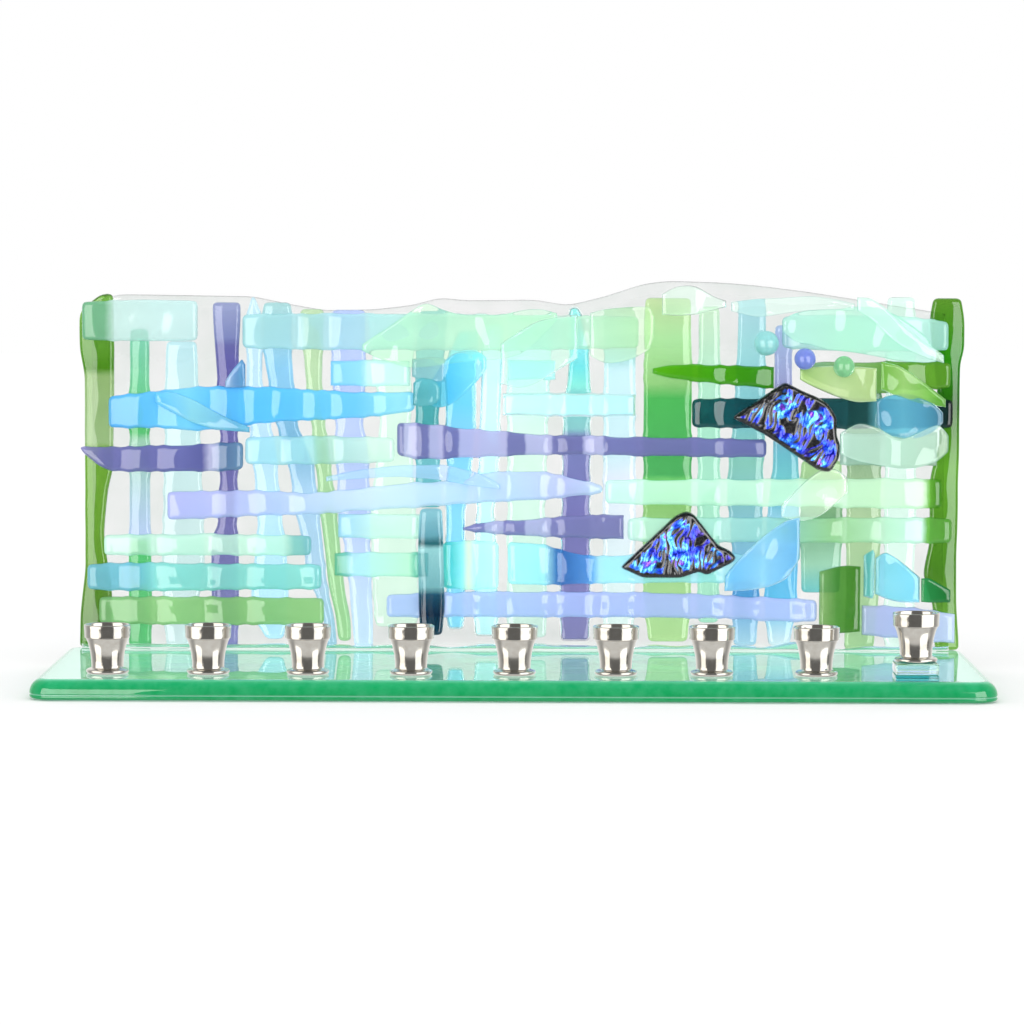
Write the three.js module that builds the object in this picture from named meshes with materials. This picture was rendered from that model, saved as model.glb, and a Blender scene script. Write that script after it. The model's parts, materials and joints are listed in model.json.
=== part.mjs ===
// A fused-glass menorah. A rounded glass base carries an upright panel of coloured glass strips,
// laid across each other on a clear backing sheet, a row of eight metal candle cups, and a ninth
// cup, the shamash, raised on a glass block near the front edge.
import * as THREE from "three";

// Driving dimensions in millimetres. X runs along the base, Y towards the back, Z up, and the
// origin is the middle of the base's underside.
const BASE = { length: 355.6, depth: 127, seam: 1.75, top: 7.5, corner: 9 };
const BASE_EDGE = { lower: 0.8, upper: 5.2, steps: 5, cornerSteps: 5 };
// Each layer of the panel, from its front face to its back face.
const LAYER = { sheet: [57.5, 60.5], upright: [55, 57.5], level: [52.5, 55], front: [50, 52.5] };
const STRIP_CORNER = 2.2;
const CORNER_STEPS = 3;
const CUP_ROW_Y = -38;
const CUP_X = [-150.7, -113.3, -76.3, -38, 0.4, 38, 73.6, 112.3];
const CUP_SIDES = 20;
const SHAMASH = { x: 148, y: -51, blockSide: 16, blockHeight: 6.5, blockCorner: 1.2 };

// The candle cup's section, [radius, height] from its underside: rounded foot, waist, collar,
// lip, and the tapered socket down to the flat seat of the candle.
const CUP_SECTION = [
  [0, 0],
  [7.1, 0],
  [7.9, 0.6],
  [7.8, 1.3],
  [6.9, 1.8],
  [6, 2.2],
  [6, 3.4],
  [6.2, 5.4],
  [6.7, 8.8],
  [7.45, 11.6],
  [8, 13.2],
  [8.5, 13.4],
  [8.65, 17.8],
  [8.3, 18.2],
  [7.7, 18.2],
  [7, 13.8],
  [6.1, 9.6],
  [5.1, 6.5],
  [0, 6.5],
];

// Glass colours, and the plated metal of the cups.
const GLASS = {
  clear: 0xeef8f5,
  base_green: 0x22b070,
  border_green: 0x6ba62c,
  green: 0x62c376,
  light_green: 0xa5dc91,
  olive_green: 0xa9d68c,
  mint: 0xdcf7e6,
  aqua: 0xd0eeea,
  pale_cyan: 0xc4f0fb,
  sky: 0x6cc8fb,
  turquoise: 0x96e1dc,
  teal: 0x86cdd4,
  dark_teal: 0x14646c,
  navy: 0x0f4b5f,
  purple: 0x6f68b0,
  lavender: 0xc0caf8,
  blue_wave: 0xb4f0ff,
  sea_blue: 0x92c8da,
  dichroic: 0x141a60,
  ball_aqua: 0xa0ebeb,
  ball_blue: 0x8ca0f5,
  ball_green: 0x96e1a5,
};
const METAL = 0xd8d4c8;

// The two border strips and the upright strips behind the level ones: rows of
// [height, left edge, right edge] from the foot up.
const BORDERS = {
  border_left: {
    glass: "border_green",
    rows: [
      [7.5, -171.5, -158.5],
      [20, -171, -158.7],
      [30, -170, -158.5],
      [40, -169, -160],
      [52, -169, -161.5],
      [70, -169, -160],
      [78, -169, -158],
      [115, -169, -157.3],
      [125, -171, -157.3],
      [140, -171, -157.4],
      [146.5, -162, -157.6],
    ],
  },
  border_right: {
    glass: "border_green",
    rows: [
      [7.5, 165, 174.5],
      [25, 164, 173.3],
      [37, 160, 173.3],
      [50, 162.5, 173.3],
      [75, 162.5, 173.6],
      [90, 166, 173.8],
      [110, 165, 173.8],
      [121, 163.5, 173.9],
      [125, 163, 175.5],
      [137, 161.5, 175.5],
      [145.7, 163, 174],
    ],
  },
};
const UPRIGHTS = {
  upright_01_green: {
    glass: "green",
    rows: [
      [7.5, -152, -143],
      [30, -151.6, -143.4],
      [133, -151.3, -143.6],
    ],
  },
  upright_02_aqua: {
    glass: "aqua",
    rows: [
      [7.6, -137, -128],
      [17, -138, -126.5],
      [40, -138.5, -122.5],
      [58, -138.5, -122.5],
      [90, -137.5, -124],
      [128, -137, -125],
    ],
  },
  upright_03_purple: {
    glass: "purple",
    rows: [
      [7.5, -119, -109],
      [50, -119, -109],
      [57, -116.6, -109.4],
      [90, -115.6, -109],
      [120, -117.5, -108.5],
      [143.3, -119, -107.6],
    ],
  },
  upright_04_cyan: {
    glass: "pale_cyan",
    rows: [
      [11, -98, -91],
      [20, -102.5, -89.8],
      [29, -103.5, -89.5],
      [50, -101.5, -90.5],
      [60, -101, -92],
      [85, -103.5, -94],
      [110, -105.5, -99.3],
      [138, -105.5, -99.5],
      [145.5, -103.4, -102.2],
    ],
  },
  upright_05_teal: {
    glass: "teal",
    rows: [
      [7.6, -74.3, -69.8],
      [20, -75.5, -71],
      [30, -79, -73.5],
      [40, -82, -74.8],
      [60, -86, -77],
      [80, -89, -79.3],
      [96, -94, -86],
      [118, -98, -87.4],
      [125, -99, -88],
      [143.3, -99, -88],
    ],
  },
  upright_06_light_green: {
    glass: "light_green",
    rows: [
      [10.3, -69.6, -64.4],
      [20, -70.5, -64.8],
      [30, -73, -67],
      [60, -76.5, -70],
      [80, -78.5, -72.5],
      [97, -80, -75],
      [110, -82, -76],
      [140.8, -84.5, -75],
    ],
  },
  upright_07_lavender: {
    glass: "lavender",
    rows: [
      [7.5, -63.2, -55.6],
      [20, -64.2, -56],
      [40, -66, -57],
      [60, -69, -57],
      [85, -70.5, -58],
      [97, -70.5, -60],
      [122, -72, -59],
      [140.5, -72, -59],
    ],
  },
  upright_08_mint: {
    glass: "mint",
    rows: [
      [16, -55, -38.5],
      [30, -56, -38.3],
      [60, -56.5, -39.5],
      [78, -55, -40],
      [100, -53, -41.5],
      [115, -55, -41],
      [139, -58.3, -38.8],
    ],
  },
  upright_09_teal: {
    glass: "teal",
    rows: [
      [63, -38.8, -29],
      [96, -39, -30.5],
      [110, -39.4, -29],
      [122, -39.2, -28.4],
      [140, -38, -26.6],
    ],
  },
  upright_11_sky: {
    glass: "sky",
    rows: [
      [15, -27, -20],
      [64, -27.5, -19.5],
      [75, -27, -17.3],
      [99, -27.8, -15.2],
      [120, -27.8, -15.2],
      [133, -22.5, -13.8],
    ],
  },
  upright_12_cyan: {
    glass: "pale_cyan",
    rows: [
      [12.3, -16.2, -6.3],
      [62, -15.5, -8],
      [80, -14.5, -6.5],
      [105, -14, -5.5],
      [135.5, -13, -5],
    ],
  },
  upright_13_mint: {
    glass: "mint",
    rows: [
      [12, -3, 12.3],
      [62, -3, 11.5],
      [138, -3.4, 14],
    ],
  },
  upright_14_purple: {
    glass: "purple",
    rows: [
      [10.5, 17.5, 29.5],
      [97, 18.3, 29.5],
      [112, 20, 29.5],
      [125, 21, 29],
      [142, 20.5, 25],
    ],
  },
  upright_15_cyan: {
    glass: "pale_cyan",
    rows: [
      [9, 34.8, 46.5],
      [60, 34.5, 47],
      [141, 34.6, 46.8],
    ],
  },
  upright_16_green: {
    glass: "green",
    rows: [
      [10.5, 52.2, 67.8],
      [30, 50.5, 68.8],
      [108, 50, 69],
      [145.5, 50.5, 68.5],
    ],
  },
  upright_17_mint: {
    glass: "olive_green",
    rows: [
      [18, 71.8, 79.8],
      [80, 71.5, 80],
      [142, 71.6, 79.8],
    ],
  },
  upright_18_blue: {
    glass: "sea_blue",
    rows: [
      [9, 85.7, 95],
      [45, 85.5, 96.5],
      [68, 83.2, 96.8],
      [80, 83.5, 97],
      [100, 86, 97.6],
      [144.3, 87, 97.8],
    ],
  },
  upright_19_sky: {
    glass: "sky",
    rows: [
      [9, 99.5, 108],
      [27, 98, 110.6],
      [48, 98, 111],
      [81, 101, 111],
      [112, 101.2, 108.2],
      [135, 101.2, 108],
    ],
  },
  upright_20_olive: {
    glass: "olive_green",
    rows: [
      [30, 112.2, 127.6],
      [50, 112, 128],
      [82, 112, 128],
    ],
  },
  upright_21_light_green: {
    glass: "light_green",
    rows: [
      [7.6, 129.2, 140.8],
      [30, 130, 143],
      [110, 130.3, 143.4],
    ],
  },
  upright_22_mint: {
    glass: "mint",
    rows: [
      [8, 145.2, 156.5],
      [60, 145, 157],
      [146, 145.2, 156],
    ],
  },
};
// The dark strip that lies over the level ones.
const FRONT_UPRIGHTS = {
  upright_10_navy: {
    glass: "navy",
    rows: [
      [13.2, -37.2, -28.4],
      [25, -38, -27.5],
      [50, -38, -28],
      [63, -37.5, -28.5],
    ],
  },
};

// The level strips: rows of [X, bottom edge, top edge] from left to right.
const LEVELS = {
  level_01_aqua: {
    glass: "aqua",
    rows: [
      [-169.7, 128.5, 143.5],
      [-145, 128, 144.3],
      [-124.5, 128.3, 144],
    ],
  },
  level_02_sky: {
    glass: "sky",
    rows: [
      [-159.5, 94, 106.5],
      [-140, 94.3, 108.5],
      [-127, 93, 110],
      [-113, 94, 110.3],
      [-98, 96.5, 110],
      [-60, 98.5, 108],
      [-39.5, 101, 108.5],
    ],
  },
  level_03_purple: {
    glass: "purple",
    rows: [
      [-170.5, 85.6, 86.6],
      [-162, 78, 86.5],
      [-155, 77, 86.5],
      [-116, 77.2, 88],
      [-106.7, 78, 88.5],
    ],
  },
  level_04_lavender: {
    glass: "lavender",
    rows: [
      [-136.5, 57.8, 69.2],
      [-100, 60, 69.5],
      [-80, 60.5, 68.5],
      [-60, 62, 70.5],
      [-40, 63.3, 73],
      [-20, 65, 73.4],
      [-12, 65.5, 77],
      [10, 66.3, 77.5],
      [34.2, 69, 72],
    ],
  },
  level_05_mint: {
    glass: "mint",
    rows: [
      [-161.5, 44, 52],
      [-120, 44.3, 52.3],
      [-80, 44, 52],
    ],
  },
  level_06_turquoise: {
    glass: "turquoise",
    rows: [
      [-168, 30.5, 40.5],
      [-150, 30, 41],
      [-76, 31, 40.5],
    ],
  },
  level_07_light_green: {
    glass: "light_green",
    rows: [
      [-163.5, 17, 27.8],
      [-120, 16.8, 27.6],
      [-75, 17, 27.5],
    ],
  },
  level_08_mint: {
    glass: "mint",
    rows: [
      [-107, 125.5, 138.5],
      [-70, 125, 139],
      [-5, 125, 138.8],
      [48, 126, 138],
    ],
  },
  level_09_mint: {
    glass: "mint",
    rows: [
      [-106, 80, 90.5],
      [-80, 80.2, 91],
      [-47.5, 81, 90.5],
    ],
  },
  level_10_purple: {
    glass: "purple",
    rows: [
      [-46.5, 83.5, 96.5],
      [-38, 82, 96.2],
      [-20, 83, 94],
      [15, 84.3, 91.5],
      [98.3, 83.2, 90.3],
    ],
  },
  level_11_turquoise: {
    glass: "turquoise",
    rows: [
      [-28.5, 31.5, 49.5],
      [-17, 31, 50],
      [-6.5, 31.3, 49.8],
    ],
  },
  level_12_blue_wave: {
    glass: "blue_wave",
    rows: [
      [-3, 33.3, 49.8],
      [10, 33, 49],
      [18, 33.2, 46.5],
      [30, 33.5, 44],
      [60, 34, 45.5],
      [100, 34.2, 45],
    ],
  },
  level_13_mint: {
    glass: "mint",
    rows: [
      [35.2, 64.8, 74.2],
      [100, 64.3, 74.6],
      [167, 63.2, 75],
    ],
  },
  level_14_green: {
    glass: "light_green",
    rows: [
      [44, 50.3, 59.3],
      [100, 50, 59.5],
      [171, 49.8, 59.6],
    ],
  },
  level_15_dark_teal: {
    glass: "dark_teal",
    rows: [
      [69, 95, 106],
      [120, 94.4, 106.5],
      [171, 95, 106],
    ],
  },
  level_16_aqua: {
    glass: "aqua",
    rows: [
      [104, 126, 138.5],
      [125, 125, 139],
      [150, 125, 138.8],
      [169, 125.2, 136.5],
    ],
  },
  level_17_green: {
    glass: "border_green",
    rows: [
      [111, 117, 119],
      [120, 112, 121],
      [138, 107.3, 120.5],
      [150, 110, 121],
      [170, 110.5, 120.5],
    ],
  },
  level_18_lavender: {
    glass: "lavender",
    rows: [
      [-50.5, 20, 28.8],
      [-15, 20.3, 30],
      [50, 20.3, 30],
      [80, 20, 29],
      [118.5, 18.5, 27.3],
    ],
  },
};

// The clear backing sheet's top edge, [X, height] from left to right; it slumped as it was fused.
const SHEET_SIDES = [-166, 168];
const SHEET_TOP = [
  [-166, 142.5],
  [-157, 146.3],
  [-103, 145.6],
  [-88, 142.5],
  [-75, 140.2],
  [-55, 140.6],
  [-40, 142.4],
  [-30, 145.4],
  [-20, 144.2],
  [8, 144.6],
  [20, 142.3],
  [35, 146],
  [50, 151],
  [60, 152.1],
  [80, 151.5],
  [95, 150.3],
  [115, 147.8],
  [143, 143.5],
  [168, 139.5],
];

// The two black dichroic pieces, as [X, Z] outlines.
const DICHROIC_OUTLINES = {
  dichroic_upper: [
    [84.5, 99],
    [105, 113],
    [112, 109.5],
    [118, 107],
    [122, 104.5],
    [125.5, 99],
    [125.5, 92],
    [127, 88],
    [126.5, 83],
    [123, 77.5],
    [118, 78.5],
    [97, 92.5],
    [90, 96],
  ],
  dichroic_lower: [
    [41, 40],
    [44, 43],
    [62.5, 60.5],
    [67, 62.5],
    [70, 61],
    [79.5, 49],
    [84, 47],
    [86.8, 44],
    [85, 42],
    [75, 37],
    [72, 38.5],
    [65, 36],
    [50, 36],
  ],
};
const DICHROIC_CORNER = 1.5;

// The opal glass balls: place on the panel, radius, and the face they are fused to.
const BALL_SINK = 0.5;
const BALLS = {
  ball_aqua: { x: 97.8, z: 128, radius: 4.9, face: LAYER.upright[0] },
  ball_blue: { x: 112.8, z: 122, radius: 4.2, face: LAYER.level[0] },
  ball_green: { x: 128, z: 119, radius: 4.2, face: LAYER.level[0] },
};

const X = new THREE.Vector3(1, 0, 0);
const Y = new THREE.Vector3(0, 1, 0);
const Z = new THREE.Vector3(0, 0, 1);
// Turns a flat outline up to face the front; a turned profile's axis then points up.
const STAND_UP = new THREE.Matrix4().makeBasis(X, Z, Y.clone().negate());
// Points a turned profile's axis at the front.
const FACE_FRONT = new THREE.Matrix4().makeBasis(X, Y.clone().negate(), Z.clone().negate());

const menorah = new THREE.Group();

function addGlass(name, geometry, glass) {
  const material = new THREE.MeshStandardMaterial({
    color: GLASS[glass],
    roughness: 0.08,
    metalness: 0,
  });
  const mesh = new THREE.Mesh(geometry, material);
  mesh.name = name;
  menorah.add(mesh);
}

// A short curve in place of one corner: a quadratic from one side to the other.
function curvedCorner(before, corner, after, reach) {
  const start = corner.clone().lerp(before, Math.min(0.49, reach / corner.distanceTo(before)));
  const end = corner.clone().lerp(after, Math.min(0.49, reach / corner.distanceTo(after)));
  return new THREE.QuadraticBezierCurve(start, corner, end).getPoints(CORNER_STEPS);
}

// A closed outline with some of its corners rounded.
function roundedOutline(points, reach, isRounded) {
  const count = points.length;
  const vectors = points.map(([a, b]) => new THREE.Vector2(a, b));
  return vectors.flatMap((corner, i) => {
    if (!isRounded(i)) return [corner];
    return curvedCorner(vectors[(i + count - 1) % count], corner, vectors[(i + 1) % count], reach);
  });
}

// A flat piece of glass that fills one layer of the panel.
function pane(outline, [front, back]) {
  const shape = new THREE.Shape(outline);
  const geometry = new THREE.ExtrudeGeometry(shape, { depth: back - front, bevelEnabled: false });
  return geometry.applyMatrix4(STAND_UP).translate(0, back, 0);
}

// A strip from its rows; the four corners at its ends are rounded.
function strip(rows, layer, isUpright) {
  const place = (along, across) => (isUpright ? [across, along] : [along, across]);
  const lowEdge = rows.map(([along, low]) => place(along, low));
  const highEdge = rows.map(([along, , high]) => place(along, high)).reverse();
  const last = rows.length - 1;
  const ends = [0, last, last + 1, 2 * last + 1];
  const outline = roundedOutline([...lowEdge, ...highEdge], STRIP_CORNER, (i) => ends.includes(i));
  return pane(outline, layer);
}

function addStrips(strips, layer, isUpright) {
  for (const [name, { glass, rows }] of Object.entries(strips)) {
    addGlass(name, strip(rows, layer, isUpright), glass);
  }
}

// The base's outline, drawn in by some distance: a rectangle with round corners.
function baseOutline(inset) {
  const radius = BASE.corner - inset;
  const cx = BASE.length / 2 - BASE.corner;
  const cy = BASE.depth / 2 - BASE.corner;
  const centres = [
    [cx, cy],
    [-cx, cy],
    [-cx, -cy],
    [cx, -cy],
  ];
  const points = [];
  centres.forEach(([x, y], quarter) => {
    for (let step = 0; step <= BASE_EDGE.cornerSteps; step++) {
      const angle = (quarter + step / BASE_EDGE.cornerSteps) * (Math.PI / 2);
      points.push([x + radius * Math.cos(angle), y + radius * Math.sin(angle)]);
    }
  });
  return points;
}

// A closed solid through level rings of [height, inset], with a flat face at each end.
function stackedBase(rings) {
  const outlines = rings.map(([z, inset]) => baseOutline(inset).map(([x, y]) => [x, y, z]));
  const count = outlines[0].length;
  const bottomCentre = count * rings.length;
  const topCentre = bottomCentre + 1;
  const lastRing = count * (rings.length - 1);
  const centres = [
    [0, 0, rings[0][0]],
    [0, 0, rings[rings.length - 1][0]],
  ];
  const index = [];
  for (let i = 0; i < count; i++) {
    const next = (i + 1) % count;
    index.push(bottomCentre, next, i);
    index.push(topCentre, lastRing + i, lastRing + next);
    for (let ring = 0; ring < lastRing; ring += count) {
      index.push(ring + i, ring + next, ring + count + next);
      index.push(ring + i, ring + count + next, ring + count + i);
    }
  }
  const positions = [...outlines.flat(), ...centres].flat();
  return new THREE.BufferGeometry()
    .setAttribute("position", new THREE.Float32BufferAttribute(positions, 3))
    .setIndex(index);
}

// The base: a thin lower sheet, and an upper one whose edge is drawn into a quarter round.
const lowerRings = [
  [0, BASE_EDGE.lower],
  [BASE_EDGE.lower, 0],
  [BASE.seam, 0],
];
const upperRings = [];
for (let step = 0; step <= BASE_EDGE.steps; step++) {
  const angle = (step / BASE_EDGE.steps) * (Math.PI / 2);
  const height = BASE.seam + (BASE.top - BASE.seam) * Math.sin(angle);
  upperRings.push([height, BASE_EDGE.upper * (1 - Math.cos(angle))]);
}
addGlass("base_lower_sheet", stackedBase(lowerRings), "base_green");
addGlass("base_upper_sheet", stackedBase(upperRings), "base_green");

// The panel: clear sheet at the back, then uprights and borders, level strips, front pieces.
const sheetOutline = [[SHEET_SIDES[0], BASE.top], [SHEET_SIDES[1], BASE.top]];
sheetOutline.push(...SHEET_TOP.slice().reverse());
const sheetPoints = sheetOutline.map(([x, z]) => new THREE.Vector2(x, z));
addGlass("panel_back_sheet", pane(sheetPoints, LAYER.sheet), "clear");
addStrips(BORDERS, LAYER.upright, true);
addStrips(UPRIGHTS, LAYER.upright, true);
addStrips(LEVELS, LAYER.level, false);
addStrips(FRONT_UPRIGHTS, LAYER.front, true);
for (const [name, points] of Object.entries(DICHROIC_OUTLINES)) {
  const outline = roundedOutline(points, DICHROIC_CORNER, () => true);
  addGlass(name, pane(outline, LAYER.front), "dichroic");
}

// A ball sunk a little into the glass behind it, so that it has a flat back.
function ballOn({ x, z, radius, face }) {
  const steps = 7;
  const lowest = -Math.asin(BALL_SINK);
  const section = [new THREE.Vector2(0, 0)];
  for (let step = 0; step < steps; step++) {
    const angle = lowest + (step / steps) * (Math.PI / 2 - lowest);
    const height = step === 0 ? 0 : radius * (BALL_SINK + Math.sin(angle));
    section.push(new THREE.Vector2(radius * Math.cos(angle), height));
  }
  section.push(new THREE.Vector2(0, radius * (BALL_SINK + 1)));
  return new THREE.LatheGeometry(section, 16).applyMatrix4(FACE_FRONT).translate(x, face, z);
}
for (const [name, ball] of Object.entries(BALLS)) addGlass(name, ballOn(ball), name);

// The block that raises the shamash.
function shamashBlock() {
  const half = SHAMASH.blockSide / 2;
  const square = [
    [-half, -half],
    [half, -half],
    [half, half],
    [-half, half],
  ];
  const outline = roundedOutline(square, SHAMASH.blockCorner, () => true);
  const options = { depth: SHAMASH.blockHeight, bevelEnabled: false };
  const geometry = new THREE.ExtrudeGeometry(new THREE.Shape(outline), options);
  return geometry.translate(SHAMASH.x, SHAMASH.y, BASE.top);
}
addGlass("shamash_block", shamashBlock(), "clear");

// The candle cups.
function addCup(name, x, y, z) {
  const section = CUP_SECTION.map(([radius, height]) => new THREE.Vector2(radius, height));
  const material = new THREE.MeshStandardMaterial({ color: METAL, roughness: 0.1, metalness: 1 });
  const geometry = new THREE.LatheGeometry(section, CUP_SIDES).applyMatrix4(STAND_UP);
  const cup = new THREE.Mesh(geometry, material);
  cup.name = name;
  cup.position.set(x, y, z);
  menorah.add(cup);
}
CUP_X.forEach((x, i) => addCup(`candle_cup_${i + 1}`, x, CUP_ROW_Y, BASE.top));
addCup("shamash_cup", SHAMASH.x, SHAMASH.y, BASE.top + SHAMASH.blockHeight);

export default menorah;
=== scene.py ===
"""Looks of the fused-glass menorah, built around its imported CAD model."""

import json
import math
import random

import bmesh
import bpy
import numpy as np
from mathutils import Matrix, Vector, noise

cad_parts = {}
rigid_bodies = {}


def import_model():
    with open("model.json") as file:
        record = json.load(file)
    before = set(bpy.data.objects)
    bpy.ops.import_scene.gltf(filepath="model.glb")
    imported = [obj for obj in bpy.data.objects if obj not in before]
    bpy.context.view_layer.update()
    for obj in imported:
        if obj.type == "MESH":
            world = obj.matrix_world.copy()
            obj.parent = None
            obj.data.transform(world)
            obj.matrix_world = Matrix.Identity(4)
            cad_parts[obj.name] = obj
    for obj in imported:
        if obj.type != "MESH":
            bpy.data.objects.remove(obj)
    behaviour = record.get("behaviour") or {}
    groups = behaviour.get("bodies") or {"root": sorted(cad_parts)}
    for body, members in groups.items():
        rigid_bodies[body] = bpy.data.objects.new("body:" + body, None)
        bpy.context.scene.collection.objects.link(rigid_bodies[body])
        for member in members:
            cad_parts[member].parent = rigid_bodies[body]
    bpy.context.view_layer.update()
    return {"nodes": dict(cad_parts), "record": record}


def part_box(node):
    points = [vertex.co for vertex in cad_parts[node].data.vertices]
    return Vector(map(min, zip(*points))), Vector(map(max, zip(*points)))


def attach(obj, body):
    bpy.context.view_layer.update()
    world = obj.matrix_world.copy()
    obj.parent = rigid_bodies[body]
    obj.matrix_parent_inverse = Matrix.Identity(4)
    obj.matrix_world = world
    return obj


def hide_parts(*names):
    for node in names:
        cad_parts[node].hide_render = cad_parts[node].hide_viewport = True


MM = 0.001
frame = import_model()

# The panel's layers, read from one node of each, and the base's upper sheet.
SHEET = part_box("panel_back_sheet")
UPRIGHT_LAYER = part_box("upright_01_green")
LEVEL_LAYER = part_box("level_08_mint")
FRONT_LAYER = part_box("upright_10_navy")
BASE_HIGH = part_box("base_upper_sheet")

# The space left between pieces that touch.
LAYER_GAP = 0.06 * MM


# ---------------------------------------------------------------- materials


def linear(rgb):
    """A display colour of 0 to 255 as the linear colour that a shader takes."""
    values = [c / 255 for c in rgb]
    return [v / 12.92 if v <= 0.04045 else ((v + 0.055) / 1.055) ** 2.4 for v in values] + [1]


def grey(level):
    return (level, level, level, 1)


class Nodes:
    """A material and short ways to add nodes to it."""

    def __init__(self, name):
        self.material = bpy.data.materials.new(name)
        self.material.use_nodes = True
        self.tree = self.material.node_tree
        self.shader = self.tree.nodes["Principled BSDF"]
        self.place = self.add("ShaderNodeTexCoord").outputs["Object"]

    def add(self, kind, **settings):
        node = self.tree.nodes.new(kind)
        for key, value in settings.items():
            if hasattr(node, key):
                setattr(node, key, value)
            else:
                node.inputs[key.replace("_", " ")].default_value = value
        return node

    def link(self, source, target):
        self.tree.links.new(source, target)

    def noise(self, scale, detail=2, stretch=None):
        """A noise texture in metres, stretched along the axes if asked."""
        node = self.add("ShaderNodeTexNoise", Scale=scale, Detail=detail)
        place = self.place
        if stretch:
            mapping = self.add("ShaderNodeMapping")
            mapping.inputs["Scale"].default_value = stretch
            self.link(place, mapping.inputs["Vector"])
            place = mapping.outputs["Vector"]
        self.link(place, node.inputs["Vector"])
        return node.outputs["Fac"]

    def spread(self, value, low, high):
        """Maps 0.3 to 0.7 of a noise to low to high."""
        node = self.add("ShaderNodeMapRange", From_Min=0.3, From_Max=0.7, To_Min=low, To_Max=high)
        self.link(value, node.inputs["Value"])
        return node.outputs["Result"]

    def ramp(self, value, stops):
        node = self.add("ShaderNodeValToRGB")
        elements = node.color_ramp.elements
        while len(elements) < len(stops):
            elements.new(0.5)
        for element, (at, colour) in zip(elements, stops):
            element.position = at
            element.color = colour
        self.link(value, node.inputs["Fac"])
        return node.outputs["Color"]

    def mix(self, factor, first, second, blend="MIX"):
        node = self.add("ShaderNodeMix", data_type="RGBA", blend_type=blend)
        for value, slot in ((factor, 0), (first, 6), (second, 7)):
            if isinstance(value, bpy.types.NodeSocket):
                self.link(value, node.inputs[slot])
            else:
                node.inputs[slot].default_value = value
        return node.outputs[2]

    def bump(self, height, strength, distance):
        node = self.add("ShaderNodeBump", Strength=strength, Distance=distance)
        self.link(height, node.inputs["Height"])
        self.link(node.outputs["Normal"], self.shader.inputs["Normal"])

    def set(self, **values):
        for key, value in values.items():
            self.shader.inputs[key.replace("_", " ")].default_value = value

    def feed(self, source, *inputs):
        """Links a socket to inputs of the shader."""
        for name in inputs:
            self.link(source, self.shader.inputs[name])

    def mark(self, name):
        """The number that the mesh stores at each of its points under a name."""
        return self.add("ShaderNodeAttribute", attribute_name=name).outputs["Fac"]

    def axis(self, name):
        """The place along one axis, in metres."""
        split = self.add("ShaderNodeSeparateXYZ")
        self.link(self.place, split.inputs["Vector"])
        return split.outputs[name]


GLASS_IOR = 1.47
# Strength of the strips' painted glow: emission that stands in for light passing through them from behind.
PAINTED_BACKLIGHT_GLOW = 0.14
# Painted shade multiplied into each strip's outline, standing in for the darker refraction at its rounded
# edges.
PAINTED_EDGE_SHADE = (0.22, 0.5, 0.5, 1)
COLOUR_WANDER = 1.5 * MM


def strip_glass(name, stops, upright, clarity, painted_glow=PAINTED_BACKLIGHT_GLOW):
    """Glass whose colour changes along a strip; its stops are (place in mm, red, green, blue).

    It has a faint painted glow, emission that stands in for the light that milky glass passes from behind
    it, and painted shade along its outline, which stands in for the darker refraction at its rounded
    edges.
    """
    m = Nodes(name)
    first, last = stops[0][0], stops[-1][0]
    wander = m.add("ShaderNodeMath", operation="MULTIPLY_ADD")
    m.link(m.noise(260), wander.inputs[0])
    wander.inputs[1].default_value = COLOUR_WANDER
    m.link(m.axis("Z" if upright else "X"), wander.inputs[2])
    along = m.add("ShaderNodeMapRange", From_Min=first * MM, From_Max=last * MM)
    m.link(wander.outputs[0], along.inputs["Value"])
    places = [((at - first) / (last - first), linear(colour)) for at, *colour in stops]
    colour = m.ramp(along.outputs["Result"], places)
    streaks = m.noise(90, 3, (1, 1, 0.15) if upright else (0.15, 1, 1))
    shade = m.ramp(m.spread(streaks, 0, 1), [(0, (0.93, 0.95, 0.95, 1)), (1, grey(1))])
    tint = m.mix(1.0, colour, shade, "MULTIPLY")
    # Painted shade: the colour is darkened where the outline mark is 1.
    shaded_edge = m.mix(1.0, tint, PAINTED_EDGE_SHADE, "MULTIPLY")
    m.feed(m.mix(m.mark("outline"), tint, shaded_edge), "Base Color", "Emission Color")
    m.feed(m.spread(m.noise(400), 0.02, 0.05), "Roughness")
    m.bump(m.noise(700, 3), 0.15, 0.04 * MM)
    # The emission strength set here is the painted glow.
    m.set(Transmission_Weight=clarity, IOR=GLASS_IOR, Emission_Strength=painted_glow)
    return m.material


def clear_glass(name, colour, clearest=1.0):
    """Clear glass with faint cords in it."""
    m = Nodes(name)
    m.feed(m.ramp(m.noise(60, 3), [(0.3, linear(colour)), (0.7, grey(clearest))]), "Base Color")
    m.feed(m.spread(m.noise(300), 0.02, 0.05), "Roughness")
    m.bump(m.noise(180, 2), 0.2, 0.08 * MM)
    m.set(Transmission_Weight=1.0, IOR=GLASS_IOR)
    return m.material


# Colours of the base's rim, with painted light in them: (millimetres above its underside, red, green,
# blue). The pale band from 1.62 to 1.95 mm is a painted highlight along the seam, and the pale stop at 7.4
# mm is a painted reflection along the top edge.
RIM_COLOURS_AND_HIGHLIGHTS = [(0, 40, 150, 105), (0.5, 12, 156, 88), (1.5, 12, 160, 90), (1.62, 130, 205, 170),
             (1.95, 130, 205, 170), (2.1, 14, 158, 90), (4.5, 14, 164, 94), (6.6, 24, 170, 106),
             (7.4, 80, 196, 150)]
RIM_SPAN = 8


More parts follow.
